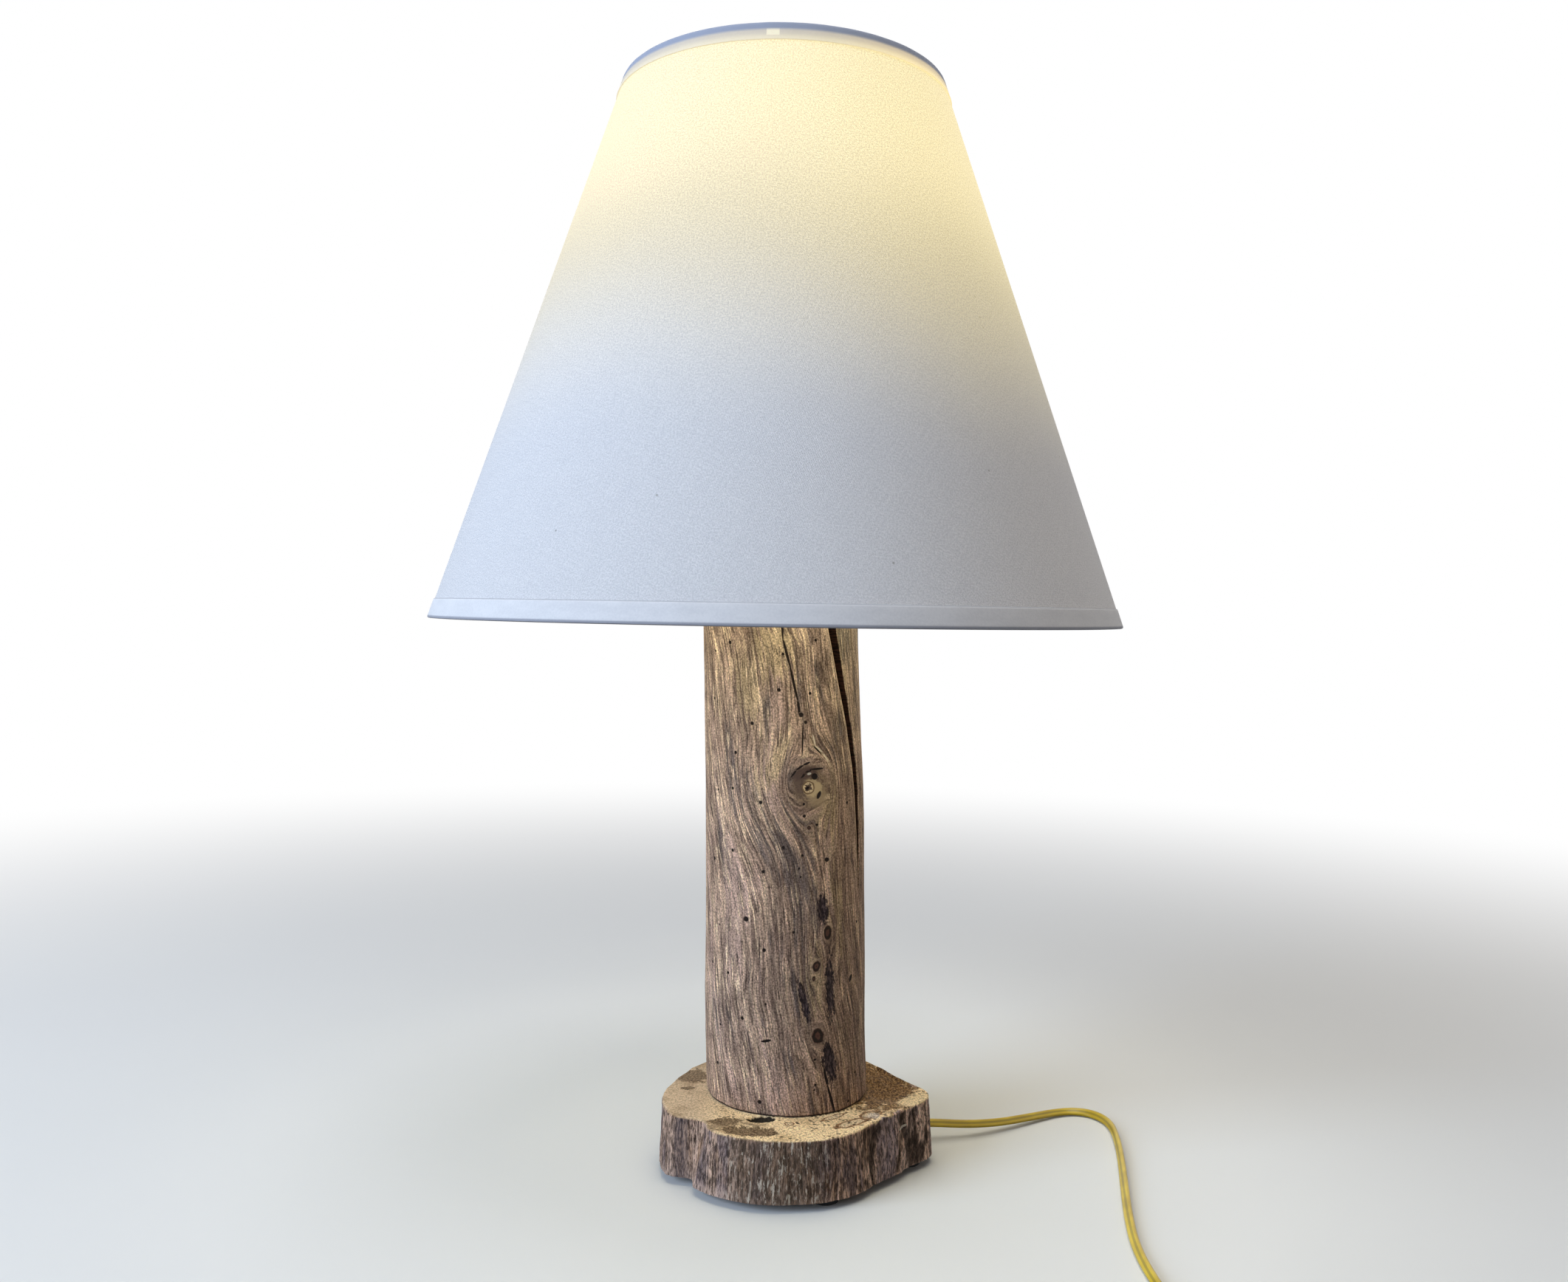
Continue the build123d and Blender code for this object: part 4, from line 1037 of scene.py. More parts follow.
@dataclass
class DriftwoodPost:
    """The post: a worked log with its bore, swellings at the knots, fine relief and one deep split. Sizes in mm.

    The knots' figures are for the big one and for the small ones. Each sway of the fibres has its size, its
    height and how far it reaches; each wander its cells round and mm up, its size, a seed and its octaves; each
    ripple its height, its fineness across and along the fibres and a seed. The split's path has its height, its
    arc and its half width, and its wall has shares of its depth, column by column from its middle.
    """

    foot: float = 40.3
    height: float = 372.7
    leans: tuple[float, ...] = (11.4, 9.0, 8.1, 6.9, 4.2, 2.0, 0.0)
    radii: tuple[float, ...] = (48.4, 48.8, 48.0, 47.7, 46.9, 46.5, 46.0)
    bore: float = 5.5
    girth_radius: float = 48.0
    columns: int = 340
    rows: int = 236
    edge: float = 0.6
    end_rings: tuple[float, ...] = (0.97, 0.85, 0.6, 0.3, 0.0)
    split_depth: float = 17.0
    split_home: float = 45.0
    split_pull: float = 80.0
    split_wall: tuple[float, ...] = (1.0, 0.97, 0.72, 0.0)
    lip_reach: float = 9.0
    open_half: float = 1.5
    knot_stretch: Pair = (1.25, 1.6)
    knot_room: Pair = (1.1, 1.2)
    knot_swell: Pair = (1.3, 0.35)
    knot_window: float = 55.0
    sways: tuple[Triple, ...] = ((9, 162, 30), (4, 285, 22))
    wanders: tuple[tuple[float, float, float, int, int], ...] = ((2.1, 62, 3.0, 11, 2), (7, 17, 0.6, 17, 1))
    ripples: tuple[tuple[float, float, float, int], ...] = ((0.16, 0.55, 0.03, 21), (0.55, 0.045, 0.012, 31))
    lean_up: float = 0.09
    lean_foot: float = 0.10
    foot_rise: float = 75.0
    split_path: tuple[Triple, ...] = (
        (118, 55.5, 0.10), (128, 55.3, 0.6), (146, 54.6, 1.45), (163, 53.5, 1.8), (183, 52.2, 2.2),
        (201, 50.6, 2.5), (226, 45.8, 2.8), (254, 39.1, 3.1), (280, 33.3, 3.3), (310, 31.0, 3.5), (373, 30.2, 4.0),
    )

    def stream(self, arc: Grid, height: Grid) -> Grid:
        """Line of flow that a fibre belongs to, in mm round the post.

        Each knot parts the fibres as a round obstacle parts a stream: x less x times a squared over r squared,
        with x the arc from the knot, r the distance from it and a its radius. A slow sway is added: an S-curve
        down the left of the front, a steady lean and low noise.

        Args:
            arc: Arc round the post from its front, in mm.
            height: Height above the slab, in mm.

        Returns:
            The line of flow at each place.
        """
        line = arc.copy()
        for number, knot in enumerate(KNOTS):
            stretch, radius = self.knot_stretch[number > 0], knot.half_width * self.knot_room[number > 0]
            across = arc - knot.arc
            along = (height - knot.height) * knot.half_width / knot.half_height / stretch
            square = np.maximum(across**2 + along**2, radius**2)
            line -= across * radius**2 / square * np.exp(-(across / self.knot_window) ** 2)
        angle = arc / self.girth_radius
        left = 0.5 - 0.5 * np.tanh(2.6 * np.sin(angle - 0.15))
        line += left * sum(size * np.tanh((height - level) / reach) for size, level, reach in self.sways)
        line += self.lean_up * height - self.lean_foot * np.clip(self.foot_rise - height, 0, self.foot_rise)
        for cells, rise, size, seed, octaves in self.wanders:
            line += size * value_noise(polar(cells, angle, height / rise), seed, octaves)
        return line

    def split_columns(self, height: Grid) -> tuple[Grid, Grid, Grid]:
        """Arcs of the columns at each height, drawn to the split's path, so that its lips are clean edges.

        The columns nearest the split's home make its lips and walls; the others give way by a share that falls
        off exponentially with their distance from it.

        Args:
            height: Heights above the slab, as a column.

        Returns:
            The arcs, the split's depth and the mark of its left lip, where a painted highlight goes, for each
            height and column.
        """
        pitch = TURN * self.girth_radius / self.columns
        base = (np.arange(self.columns) - self.columns // 2) * pitch
        home = base[np.argmin(np.abs(base - self.split_home))]
        path = np.array(self.split_path)
        centre = np.interp(height, path[:, 0], path[:, 1])
        half = np.interp(height, path[:, 0], path[:, 2])
        offset = base[None, :] - home
        distance = np.abs(offset)
        lip_step = len(self.split_wall) - 1
        lip = lip_step * pitch
        near = 0.5 + 0.5 * np.cos(np.clip(offset / self.split_pull, -1, 1) * math.pi)
        beyond = np.sign(offset) * np.exp(-(distance - lip) / self.lip_reach)
        spread = np.where(distance <= lip, offset / lip, beyond)
        arc = base[None, :] + (centre - home) * near + spread * (half - lip)
        step = np.rint(distance / pitch)
        opening = np.minimum(1, half / self.open_half)
        depth = np.interp(step, np.arange(lip_step + 1), self.split_wall) * self.split_depth * opening
        return arc, depth, np.where((offset < 0) & (step == lip_step), opening, 0)

    def relief(self, arc: Grid, tall: Grid, grain: Grid) -> Grid:
        """How far the surface stands out: two layers of noise, a swelling round each knot, a dip at each streak.

        Args:
            arc: Arc round the post from its front, in mm.
            tall: Height above the slab, in mm.
            grain: Coordinates along the fibres, in mm.

        Returns:
            The relief at each place, in mm.
        """
        relief = np.zeros(arc.shape)
        for rise, across, along, seed in self.ripples:
            relief += rise * value_noise(grain * (across, across, along), seed, 2)
        for number, knot in enumerate(KNOTS):
            away, swell = knot.away(arc, tall), self.knot_swell[number > 0]
            relief += swell * np.exp(-(away / 1.7) ** 2) - 0.9 * swell * np.exp(-(away / 0.75) ** 2)
        for streak in STREAKS:
            relief -= 0.5 * np.exp(-(streak.away(arc, tall) / 0.8) ** 2)
        return relief

    def build(self) -> Object:
        """Make the post.

        The side's point at arc s and height h is (lean + R cos t, R sin t, foot + h), where t is s over the
        girth radius from the front and R is the section's radius plus relief less the split's depth. Rings of
        the same columns close both ends, as shares of the way from the bore's edge to the side's.

        Returns:
            The new piece.
        """
        height = np.linspace(0, self.height, self.rows)[:, None]
        arc, depth, lip_highlight = self.split_columns(height)
        tall = np.broadcast_to(height, arc.shape)
        angle = arc / self.girth_radius - math.pi / 2
        grain = polar(self.girth_radius, self.stream(arc, tall) / self.girth_radius, tall)
        sections = np.linspace(0, self.height, len(self.radii))
        radius = np.interp(height, sections, self.radii) + self.relief(arc, tall, grain) - depth
        lean = np.interp(height, sections, self.leans)
        radius -= self.edge * (1 - np.sqrt(np.clip(1 - (1 - np.clip(height / self.edge, 0, 1)) ** 2, 0, 1)))
        side = polar(radius, angle, tall + self.foot)
        side[..., 0] += lean
        hole = polar(self.bore, angle[0], 0)[:, :2]
        shares = np.array(self.end_rings)
        ends = [np.pad(hole + order[:, None, None] * (side[end, :, :2] - hole), ((0, 0), (0, 0), (0, 1)),
                       constant_values=side[end, 0, 2]) for end, order in ((-1, shares), (0, shares[::-1]))]
        points = np.concatenate([side, *ends])
        grain, depth, arc, tall = (
            np.concatenate([item, np.repeat(item[-1:], len(shares), 0), np.repeat(item[:1], len(shares), 0)])
            for item in (grain, depth, arc, tall)
        )
        # Painted highlight: the left lip's depth is taken below 0, where the material lays a pale line.
        depth[:self.rows] -= lip_highlight
        faces = ring_faces(len(points), self.columns, True)
        spots = np.stack([arc, tall], -1)
        surface = corner_grid(np.concatenate([spots, spots[:, :1] + (TURN * self.girth_radius, 0)], 1), True)
        kinds = {"pits": PITS, "streaks": STREAKS, "knots": KNOTS[1:], "scars": SCARS}
        sheets = {"surface": surface} | {kind: nearest_mark(surface, marks) for kind, marks in kinds.items()}
        zones = np.stack([sum(np.exp(-np.sum(mark.reach(spots) ** 2, -1)) for mark in marks)
                          for marks in (SLATE_AND_SHADE_ZONES, ROSE_ZONES, OCHRE_AND_LAMPLIGHT_ZONES)], -1)
        return make_mesh("weathered_post", points * MM, faces, 50.0,
                         {"grain": grain, "depth": depth, "zones": zones}, sheets)

    def dress(self) -> None:
        """Build and finish the post."""
        settle(self.build(), Driftwood().material(), "base", "post_wood", "driftwood_post")


# Slab


@dataclass(frozen=True)
class LiveEdgeWood:
    """Base slab: pale cut face, paler still with painted lamplight, with stains, pinholes and rot, and a ridged
    bark-less edge with painted light and shade.

    Each brown patch has its centre, half sizes, lean and strength, and each loop stain the same but strength.
    """

    # The cut face's pale colour is partly its own and partly painted lamplight, set brighter for the light that
    # falls on it from the shade.
    cut: Triple = (0.980, 0.735, 0.445)
    cut_dark: Triple = (0.700, 0.500, 0.285)
    stain: Triple = (0.270, 0.175, 0.100)
    bark: Triple = (0.430, 0.304, 0.236)
    bark_dark: Triple = (0.050, 0.032, 0.024)
    violet: Triple = (0.150, 0.120, 0.135)
    pink: Triple = (0.395, 0.295, 0.248)
    lichen: Triple = (0.680, 0.570, 0.450)
    rot: Triple = (0.062, 0.030, 0.012)
    rot_brown: Triple = (0.390, 0.220, 0.100)
    stain_dark: Triple = (0.055, 0.033, 0.020)
    loop_fill: Triple = (0.46, 0.36, 0.25)
    loop_line: Triple = (0.230, 0.105, 0.048)
    pinhole: Triple = (0.075, 0.042, 0.026)
    hole: Triple = (0.008, 0.006, 0.005)
    patches: tuple[tuple[Pair, Pair, float, float], ...] = (
        ((-17.0, -61.5), (21.0, 12.0), -8, 0.35), ((-23.5, -55.0), (9.5, 5.6), 0, 0.85),
        ((-9.5, -67.0), (17.5, 7.2), -8, 0.88), ((-49.5, -6.0), (4.2, 3.0), 8, 0.85),
        ((-48.0, 15.0), (11.0, 13.0), 30, 0.85), ((-28.0, -62.0), (9.0, 3.0), 10, 0.45),
        ((-9.0, -58.5), (7.0, 1.4), -25, 0.6), ((61.0, -31.0), (10.0, 3.5), 25, 0.55),
        ((72.0, -30.0), (7.0, 1.2), -38, 0.8),
    )
    loops: tuple[tuple[Pair, Pair, float], ...] = (
        ((49.0, -53.5), (11.5, 3.4), 36), ((60.0, -42.0), (7.5, 4.4), 50), ((12.7, -57.0), (2.6, 2.2), 0),
        ((38.0, -46.0), (9.0, 2.0), 42),
    )
    crest: Stain = Stain((0.82, 0.62, 0.37), (87.5, -16.5), (14.5, 7.5), 48, (0.80, 1.04), 0.95)
    pale: Stain = Stain((0.66, 0.54, 0.45), (61.5, -43.5), (4.6, 4.2), 0.0, (0.7, 1.1), 0.75)
    warm: Triple = (0.270, 0.160, 0.090)
    weathered: Triple = (0.105, 0.074, 0.052)
    notch: Triple = (0.085, 0.068, 0.080)
    splinter: Triple = (0.80, 0.70, 0.58)

    def material(self) -> Material:
        """Build the material: the attribute side mixes the cut face with the edge, and ridge darkens the grooves
        as painted shade.

        Returns:
            The material.
        """
        board = Board("slab_wood", Specular_IOR_Level=0.08)
        place = board.scaled(board.place(), (1000, 1000, 1000))
        plan = board.scaled(place, (1, 1, 0))
        side = board.value("side")
        fibre = board.value("fibre", "Vector")
        face = self.cut_face(board, plan)
        edge = self.edge_face(board, plan, fibre, board.value("ridge"))
        board.set("Base Color", board.blend(side, face, edge))
        board.set("Roughness", board.span(side, 0.0, 1.0, 0.62, 0.82))
        threads = board.noise(fibre, (0.8, 0.8, 0.06), 3, 0.6)
        pits = board.noise(place, (0.6, 0.6, 0.6), 3)
        lift = board.add(board.times(threads, side), board.times(pits, 0.25))
        board.relief(lift, 0.0012, 0.85)
        return board.material

    def cut_face(self, board: Board, plan: object) -> Socket:
        """The cut face: soft growth bands, brown patches and loop stains as ellipses, pinholes as small cells,
        with painted light that darkens and blues it towards the left and painted shade in the hollow by the post's
        foot.

        Args:
            board: Node tree of the material.
            plan: Coordinates in plan, in mm.

        Returns:
            The cut face's colour.
        """
        wander = board.noise(plan, (0.17, 0.17, 1), 5, 0.7)
        ragged = board.times_plus(wander, 2.2, -1.1)
        cloud = board.noise(plan, (0.05, 0.05, 1), 3)
        fine = board.noise(plan, (0.7, 0.7, 1), 3)
        colour = board.laid(self.cut, self.cut_dark, cloud, 0.45, 0.68)
        colour = board.laid(colour, self.cut_dark, fine, 0.38, 0.55, 0.45, 0.0)
        across = board.axes(plan)[0]
        # Painted light: the cut face is darker and bluer towards the left.
        colour = board.tinted(colour, board.laid((0.70, 0.70, 0.79), WHITE, across, -48.0, -14.0))
        holes = board.noise(plan, (0.75, 0.75, 1), 3, 0.7)
        shade = board.laid(self.stain_dark, self.stain, holes, 0.42, 0.56)
        for centre, half, lean, strength in self.patches:
            reach = board.add(board.ellipse(plan, centre, half, lean), ragged)
            colour = board.laid(colour, shade, reach, 0.86, 1.00, strength, 0.0)
        for centre, half, lean in self.loops:
            reach = board.add(board.ellipse(plan, centre, half, lean), board.times(ragged, 0.6))
            colour = board.laid(colour, self.loop_fill, reach, 0.8, 1.0, 0.4, 0.0)
            line = board.gap(reach, 1.0)
            colour = board.laid(colour, self.loop_line, line, 0.10, 0.26, 0.95, 0.0)
        reach = board.add(board.ellipse(plan, (66.0, 4.0), (27.0, 46.0), 8), ragged)
        crumbs = board.noise(plan, (0.80, 0.36, 1), 3, 0.7)
        decay = board.laid(self.rot, self.rot_brown, crumbs, 0.38, 0.62)
        colour = board.laid(colour, decay, reach, 0.76, 1.04, 0.97, 0.0)
        for patch in (self.crest, self.pale):
            colour = patch.over(board, colour, plan, ragged)
        pins = board.cells(plan, (0.30, 0.36, 1))
        speckle = board.noise(plan, (0.85, 0.50, 1), 3, 0.75)
        sound = board.span(across, -42.0, -16.0)
        colour = board.tinted(colour, board.blend(sound, board.span(speckle, 0.37, 0.60, 0.70, 1.14),
                                                  board.span(speckle, 0.37, 0.60, 0.58, 1.27)))
        density = board.noise(plan, (0.045, 0.045, 1), 1)
        some = board.times(board.span(pins, 0.23, 0.34, 1.0, 0.0), board.span(density, 0.38, 0.50))
        some = board.times(some, board.span(across, -42.0, -12.0, 0.22, 0.9))
        colour = board.blend(some, colour, self.pinhole)
        # Painted shade: the hollow by the post's foot is near black.
        hollow = board.add(board.ellipse(plan, (-3.5, -50.5), (8.5, 4.6), 4), board.times(ragged, 0.3))
        return board.laid(colour, self.hole, hollow, 0.9, 1.02, 0.98, 0.0)

    def edge_face(self, board: Board, plan: object, fibre: object, ridge: object) -> Socket:
        """The live edge: vertical fibres in browns and violets, dark grooves, whitish lichen and splinters, with
        painted shade in the deepest grooves and the front notch, and painted light towards the right end.

        Args:
            board: Node tree of the material.
            plan: Coordinates in plan, in mm.
            fibre: Coordinates along the fibres, in mm.
            ridge: How deep a groove is, below 0.

        Returns:
            The edge's colour.
        """
        threads = board.noise(fibre, (0.80, 0.80, 0.075), 4, 0.7)
        chips = board.noise(fibre, (0.45, 0.45, 0.16), 3, 0.7)
        bands = board.noise(fibre, (0.085, 0.085, 0.010), 3)
        rough = board.add(board.times(threads, 0.65), board.times(chips, 0.35))
        colour = board.laid(self.bark_dark, self.bark, rough, 0.405, 0.560)
        colour = board.laid(colour, self.violet, bands, 0.50, 0.62, 0.0, 0.65)
        colour = board.laid(colour, self.pink, bands, 0.37, 0.46, 0.55, 0.0)
        warm = board.noise(fibre, (0.08, 0.08, 0.03), 2)
        colour = board.laid(colour, self.warm, warm, 0.56, 0.70, 0.0, 0.5)
        right = board.axes(plan)[0]
        grooves = board.noise(fibre, (0.30, 0.30, 0.016), 3, 0.6)
        deep = board.times(board.span(grooves, 0.38, 0.46, 1.0, 0.0), board.span(right, -20.0, 55.0, 0.30, 0.50))
        colour = board.blend(deep, colour, self.bark_dark)
        rise = board.axes(fibre)[2]
        low = board.times(board.span(rise, 6.0, 12.0, 0.55, 0.0), board.span(right, 15.0, 50.0, 1.0, 0.1))
        colour = board.blend(low, colour, self.pink)
        # The edge's colour is brightened, far more towards the right end; the extra towards the right is painted
        # light.
        level = board.laid((1.42, 1.33, 1.26), (1.38, 1.22, 1.08), right, -24.0, -2.0)
        colour = board.tinted(colour, board.laid(level, (2.25, 2.20, 2.25), right, 35.0, 74.0))
        # Painted shade: the deepest grooves of the edge are darkened.
        colour = board.laid(colour, self.bark_dark, ridge, -1.3, -0.2, 0.9, 0.0)
        crumbs = board.noise(fibre, (0.85, 0.85, 0.20), 3, 0.75)
        colour = board.tinted(colour, board.span(crumbs, 0.40, 0.60, 0.40, 1.66))
        flakes = board.noise(fibre, (0.42, 0.42, 0.085), 4, 0.75)
        patch = board.span(board.ellipse(plan, (6.0, -80.0), (36.0, 26.0)), 0.5, 1.0, 1.0, 0.12)
        colour = board.blend(board.times(patch, 0.58), colour, self.weathered)
        crusts = board.times_plus(crumbs, 0.45, board.times(flakes, 0.55))
        some = board.times(board.span(crusts, 0.535, 0.60), board.times(patch, 0.90))
        colour = board.blend(some, colour, self.lichen)
        spot = board.node("CombineXYZ", right, rise, 0.0).outputs[0]
        splinter = board.span(board.ellipse(spot, (79.4, 30.0), (2.8, 0.8), 12), 0.8, 1.1, 1.0, 0.0)
        front = board.math("LESS_THAN", board.axes(plan)[1], 0.0)
        # Painted shade: the notch on the front left is darkened.
        notch = board.math("ABSOLUTE", board.times_plus(threads, 8.0, board.add(right, 45.5)))
        notch = board.times(board.span(notch, 2.0, 6.0, 0.55, 0.0), front)
        colour = board.blend(notch, colour, self.notch)
        return board.blend(board.times(splinter, front), colour, self.splinter)


@dataclass
class BaseSlab:
    """The slice of a branch under the post, with its recess, bore and lead pocket. Sizes in mm.

    Each kind of groove has its fineness across and along the fibres, a seed, a width and a depth. The splay has
    rows of bearing, top offset and bottom offset, and the notch slides by degrees from the top to the bottom.
    """

    bottom: float = 5.0
    thickness: float = 35.3
    rim: float = 1.5
    bore: float = 5.4
    recess_radius: float = 21.0
    recess_roof: float = 31.0
    columns: int = 540
    side_rows: int = 34
    top_rows: int = 44
    mean_radius: float = 78.0
    ledge_radius: float = 13.0
    grooves: tuple[tuple[float, float, int, float, float], ...] = (
        (0.125, 0.012, 51, 0.34, 1.15), (0.33, 0.03, 61, 0.3, 0.55),
    )
    pocket_heading: float = 11.0
    pocket_height: float = 12.0
    pocket_radius: float = 7.5
    pocket_floor: float = 83.0
    notch_bearing: float = -121.5
    notch_slide: Pair = (2.6, -4.6)
    splay: tuple[Triple, ...] = (
        (-180, 0.6, 1.4), (-158, 0.9, 1.8), (-140, 0.4, 1.6), (-120, 0.0, 0.3), (-100, 0.0, 1.0), (-80, 0.0, 0.4),
        (-62, 0.0, 0.8), (-48, 0.0, 2.8), (-34, 0.0, 2.4), (-27, 0.0, 2.3), (-23, -0.3, 0.5), (-12, -1.2, 0.9),
        (0, -1.6, 1.5), (20, -0.6, 0.8), (60, 0.0, 0.3), (120, 0.0, 0.6), (180, 0.6, 1.4),
    )
    outline: tuple[Pair, ...] = (
        (-61.5, -28), (-55, -46), (-39.5, -53), (-34.6, -66), (-19.3, -76), (2.9, -81), (28.4, -79),
        (47.2, -68.8), (62.1, -51.5), (83, -31), (96, -17), (97.5, -4), (88, 10), (77.4, 26.5), (64, 46),
        (45, 61), (20, 66), (-8, 61), (-30, 50), (-46, 33), (-57, 8), (-61.8, -12),
    )

    def edge_radius(self, angle: Grid) -> Grid:
        """Outline's radius at an angle: a closed spline through its points, each bent to its neighbours' line.

        Args:
            angle: Bearings from the axis, in radians.

        Returns:
            The outline's radius at each.
        """
        spots = np.array(self.outline)
        before, after = np.roll(spots, 1, 0), np.roll(spots, -1, 0)
        tangent = (after - before) / 2
        t = np.linspace(0, 1, 24, endpoint=False)[None, :, None]
        start, end = spots[:, None], after[:, None]
        leave, arrive = tangent[:, None], np.roll(tangent, -1, 0)[:, None]
        curve = ((2 * t**3 - 3 * t**2 + 1) * start + (t**3 - 2 * t**2 + t) * leave
                 + (3 * t**2 - 2 * t**3) * end + (t**3 - t**2) * arrive).reshape(-1, 2)
        bearing = np.unwrap(np.arctan2(curve[:, 1], curve[:, 0]))
        reach = np.hypot(curve[:, 0], curve[:, 1])
        order = np.argsort(np.mod(bearing, TURN))
        return np.interp(np.mod(angle, TURN), np.mod(bearing, TURN)[order], reach[order], period=TURN)

    def build(self) -> Object:
        """Make the slab.

        A closed profile is carried round by polar angle: out over the cut face, round the worn rim, down the
        live edge, in under the slab, up the recess and back through the bore. On the edge, the radius is the
        outline's less creased noise of the fibre coordinates, so grooves run down it. The edge leans by the
        splay table, read at each bearing between its top and bottom offsets, and the left notch slants.

        Returns:
            The new piece.
        """
        angle = np.linspace(-math.pi, math.pi, self.columns, endpoint=False)[None, :]
        top = self.bottom + self.thickness
        around = polar(self.mean_radius, angle, 0)
        worn = self.rim * (1 + 0.45 * value_noise(around / 13, 5, 2))
        fall = np.linspace(0, 1, 7)[1:-1, None] * math.pi / 2
        down = np.linspace(0, 1, self.side_rows)[:, None]
        height = top - worn - down * (self.thickness - worn)
        levels = np.concatenate([top - worn * (1 - np.cos(fall)), height])
        insets = np.concatenate([worn * (1 - np.sin(fall)), np.zeros_like(height)])
        fibre = polar(self.mean_radius, angle, levels)
        fibre[..., :2] += 2.5 * value_noise(fibre * (0.03, 0.03, 0.05), 41)[..., None]
        broad = value_noise(fibre * (0.035, 0.035, 0.016), 71)
        bearing = np.degrees(angle)
        rough = 0.55 + 0.75 * smooth_step(-60, -35, bearing) * smooth_step(40, 0, bearing)
        fade = smooth_step(top + 0.2, top - 4.0, levels) * smooth_step(0, 2, levels - self.bottom + 1.2)
        groove = 0
        for across, along, seed, width, deep in self.grooves:
            crease = np.abs(value_noise(fibre * (across, across, along), seed, 2))
            groove = groove + deep * (width - np.minimum(crease, width)) / width
        groove = groove * rough * (0.15 + 0.85 * fade)
        reach, lean = self.leaning_edge(angle, (top - levels) / self.thickness)
        radius = reach - insets - groove + groove.mean() + (1.1 * broad * fade + lean)
        side = self.cut_pocket(polar(radius, angle, levels))
        lip, foot = side[0], side[-1]
        share = np.linspace(0, 1, self.top_rows, endpoint=False)[:, None, None] ** 0.8
        hole = polar(self.bore, angle[0], 0)[:, :2]
        face = hole[None] + share * (lip[None, :, :2] - hole[None])
        drop = self.face_drop(face)
        cut = np.concatenate([face, (top - drop)[..., None]], -1)
        points = np.concatenate([cut, side, self.underside(hole, foot)])
        edge_rows = slice(self.top_rows, self.top_rows + len(side))
        ridge = np.zeros(points.shape[:2])
        ridge[edge_rows] = -groove
        chip = (0.25 + 1.2 * (rough - 0.55)) * value_noise(around / 4, 81, 2)
        edge_share = np.zeros(points.shape[:2])
        edge_share[edge_rows] = smooth_step(top - 0.15 + chip, top - 0.9 + chip, levels)
        edge_share[edge_rows.stop:] = 0.6
        fibres = points.copy()
        fibres[edge_rows] = fibre
        faces = ring_faces(len(points), self.columns, True)
        return make_mesh("live_edge_slab", points * MM, faces, 55.0,
                         {"ridge": ridge, "side": edge_share, "fibre": fibres})

    def leaning_edge(self, angle: Grid, depth: Grid) -> tuple[Grid, Grid]:
        """The outline's radius with its slanting notch, and how far the edge leans out.

        Args:
            angle: Bearings from the axis, in radians.
            depth: How far down the edge each level is, from 0 to 1.

        Returns:
            The radius and the lean at each level and bearing, in mm.
        """
        bearing = np.degrees(angle)
        slide = self.notch_slide[0] + (self.notch_slide[1] - self.notch_slide[0]) * depth
        slide = slide * np.exp(-((bearing - self.notch_bearing) / 17) ** 2)
        turns, high, low = np.array(self.splay).T
        lean = np.interp(bearing, turns, high) * (1 - depth) + np.interp(bearing, turns, low) * depth
        return self.edge_radius(angle - np.radians(slide)), lean

    def underside(self, hole: Grid, foot: Grid) -> Grid:
        """Rings of points under the slab: in to the recess, up its wall and in to the bore.

        Args:
            hole: The bore's edge in plan.
            foot: The lowest ring of the live edge.

        Returns:
            The rings, from the outside in.
        """
        wall = self.recess_radius * hole / self.bore
        floor = [wall + part * (foot[:, :2] - wall) for part in (0.75, 0.45, 0.2, 0.0)]
        roof = [hole / self.bore * radius for radius in (self.recess_radius, self.ledge_radius, self.bore)]
        return np.stack([np.pad(ring, ((0, 0), (0, 1)), constant_values=level)
                         for rings, level in ((floor, self.bottom), (roof, self.recess_roof)) for ring in rings])

    def face_drop(self, face: Grid) -> Grid:
        """How far the cut face lies under its plane: low noise, the rotten hollow, pits and the dark hole.

        Args:
            face: Places on the cut face, in plan.

        Returns:
            The drop at each place, in mm.
        """
        spots = np.concatenate([face, np.zeros(face.shape[:-1] + (1,))], -1)
        right, back = face[..., 0], face[..., 1]
        beyond = smooth_step(45, 51, np.hypot(right - 11.4, back))
        drop = 0.22 * (1 + value_noise(spots / 14, 91, 3)) * beyond
        decay = smooth_step(1.05, 0.7, oval(right, back, (73, 12), (20, 37))) * beyond
        drop += decay * (1.1 + 0.9 * np.abs(value_noise(spots * (0.45, 0.2, 1), 95, 3)))
        drop += 0.7 * smooth_step(1.1, 0.6, oval(right, back, (-12, -66.5), (17, 6.5)))
        return drop + 3.4 * smooth_step(1.05, 0.6, oval(right, back, (-3.5, -50.5), (8.5, 5.0)))

    def cut_pocket(self, side: Grid) -> Grid:
        """Sink the round seat of the lead's bushing: points within its radius go in to its floor.

        Args:
            side: Points of the edge, in mm.

        Returns:
            The points with the seat sunk in them.
        """
        heading = math.radians(self.pocket_heading)
        ahead, across = on_axes(side[..., 0], side[..., 1], heading)
        lift = side[..., 2] - self.pocket_height
        away = np.hypot(across, lift)
        facing = ahead > 0
        snapped = facing & (away < self.pocket_radius + 1.1) & (away > self.pocket_radius - 0.1)
        inside = facing & (away <= self.pocket_radius - 0.1)
        pull = np.where(snapped, self.pocket_radius / np.maximum(away, 1e-6), 1.0)
        across, lift = across * pull, lift * pull
        ahead = np.where(inside, self.pocket_floor, ahead)
        moved = np.stack([*on_axes(ahead, across, -heading), lift + self.pocket_height], -1)
        return np.where((snapped | inside)[..., None], moved, side)

    def dress(self) -> None:
        """Build and finish the slab."""
        settle(self.build(), LiveEdgeWood().material(), "base", "slab_wood", "base_slab")


# Shade


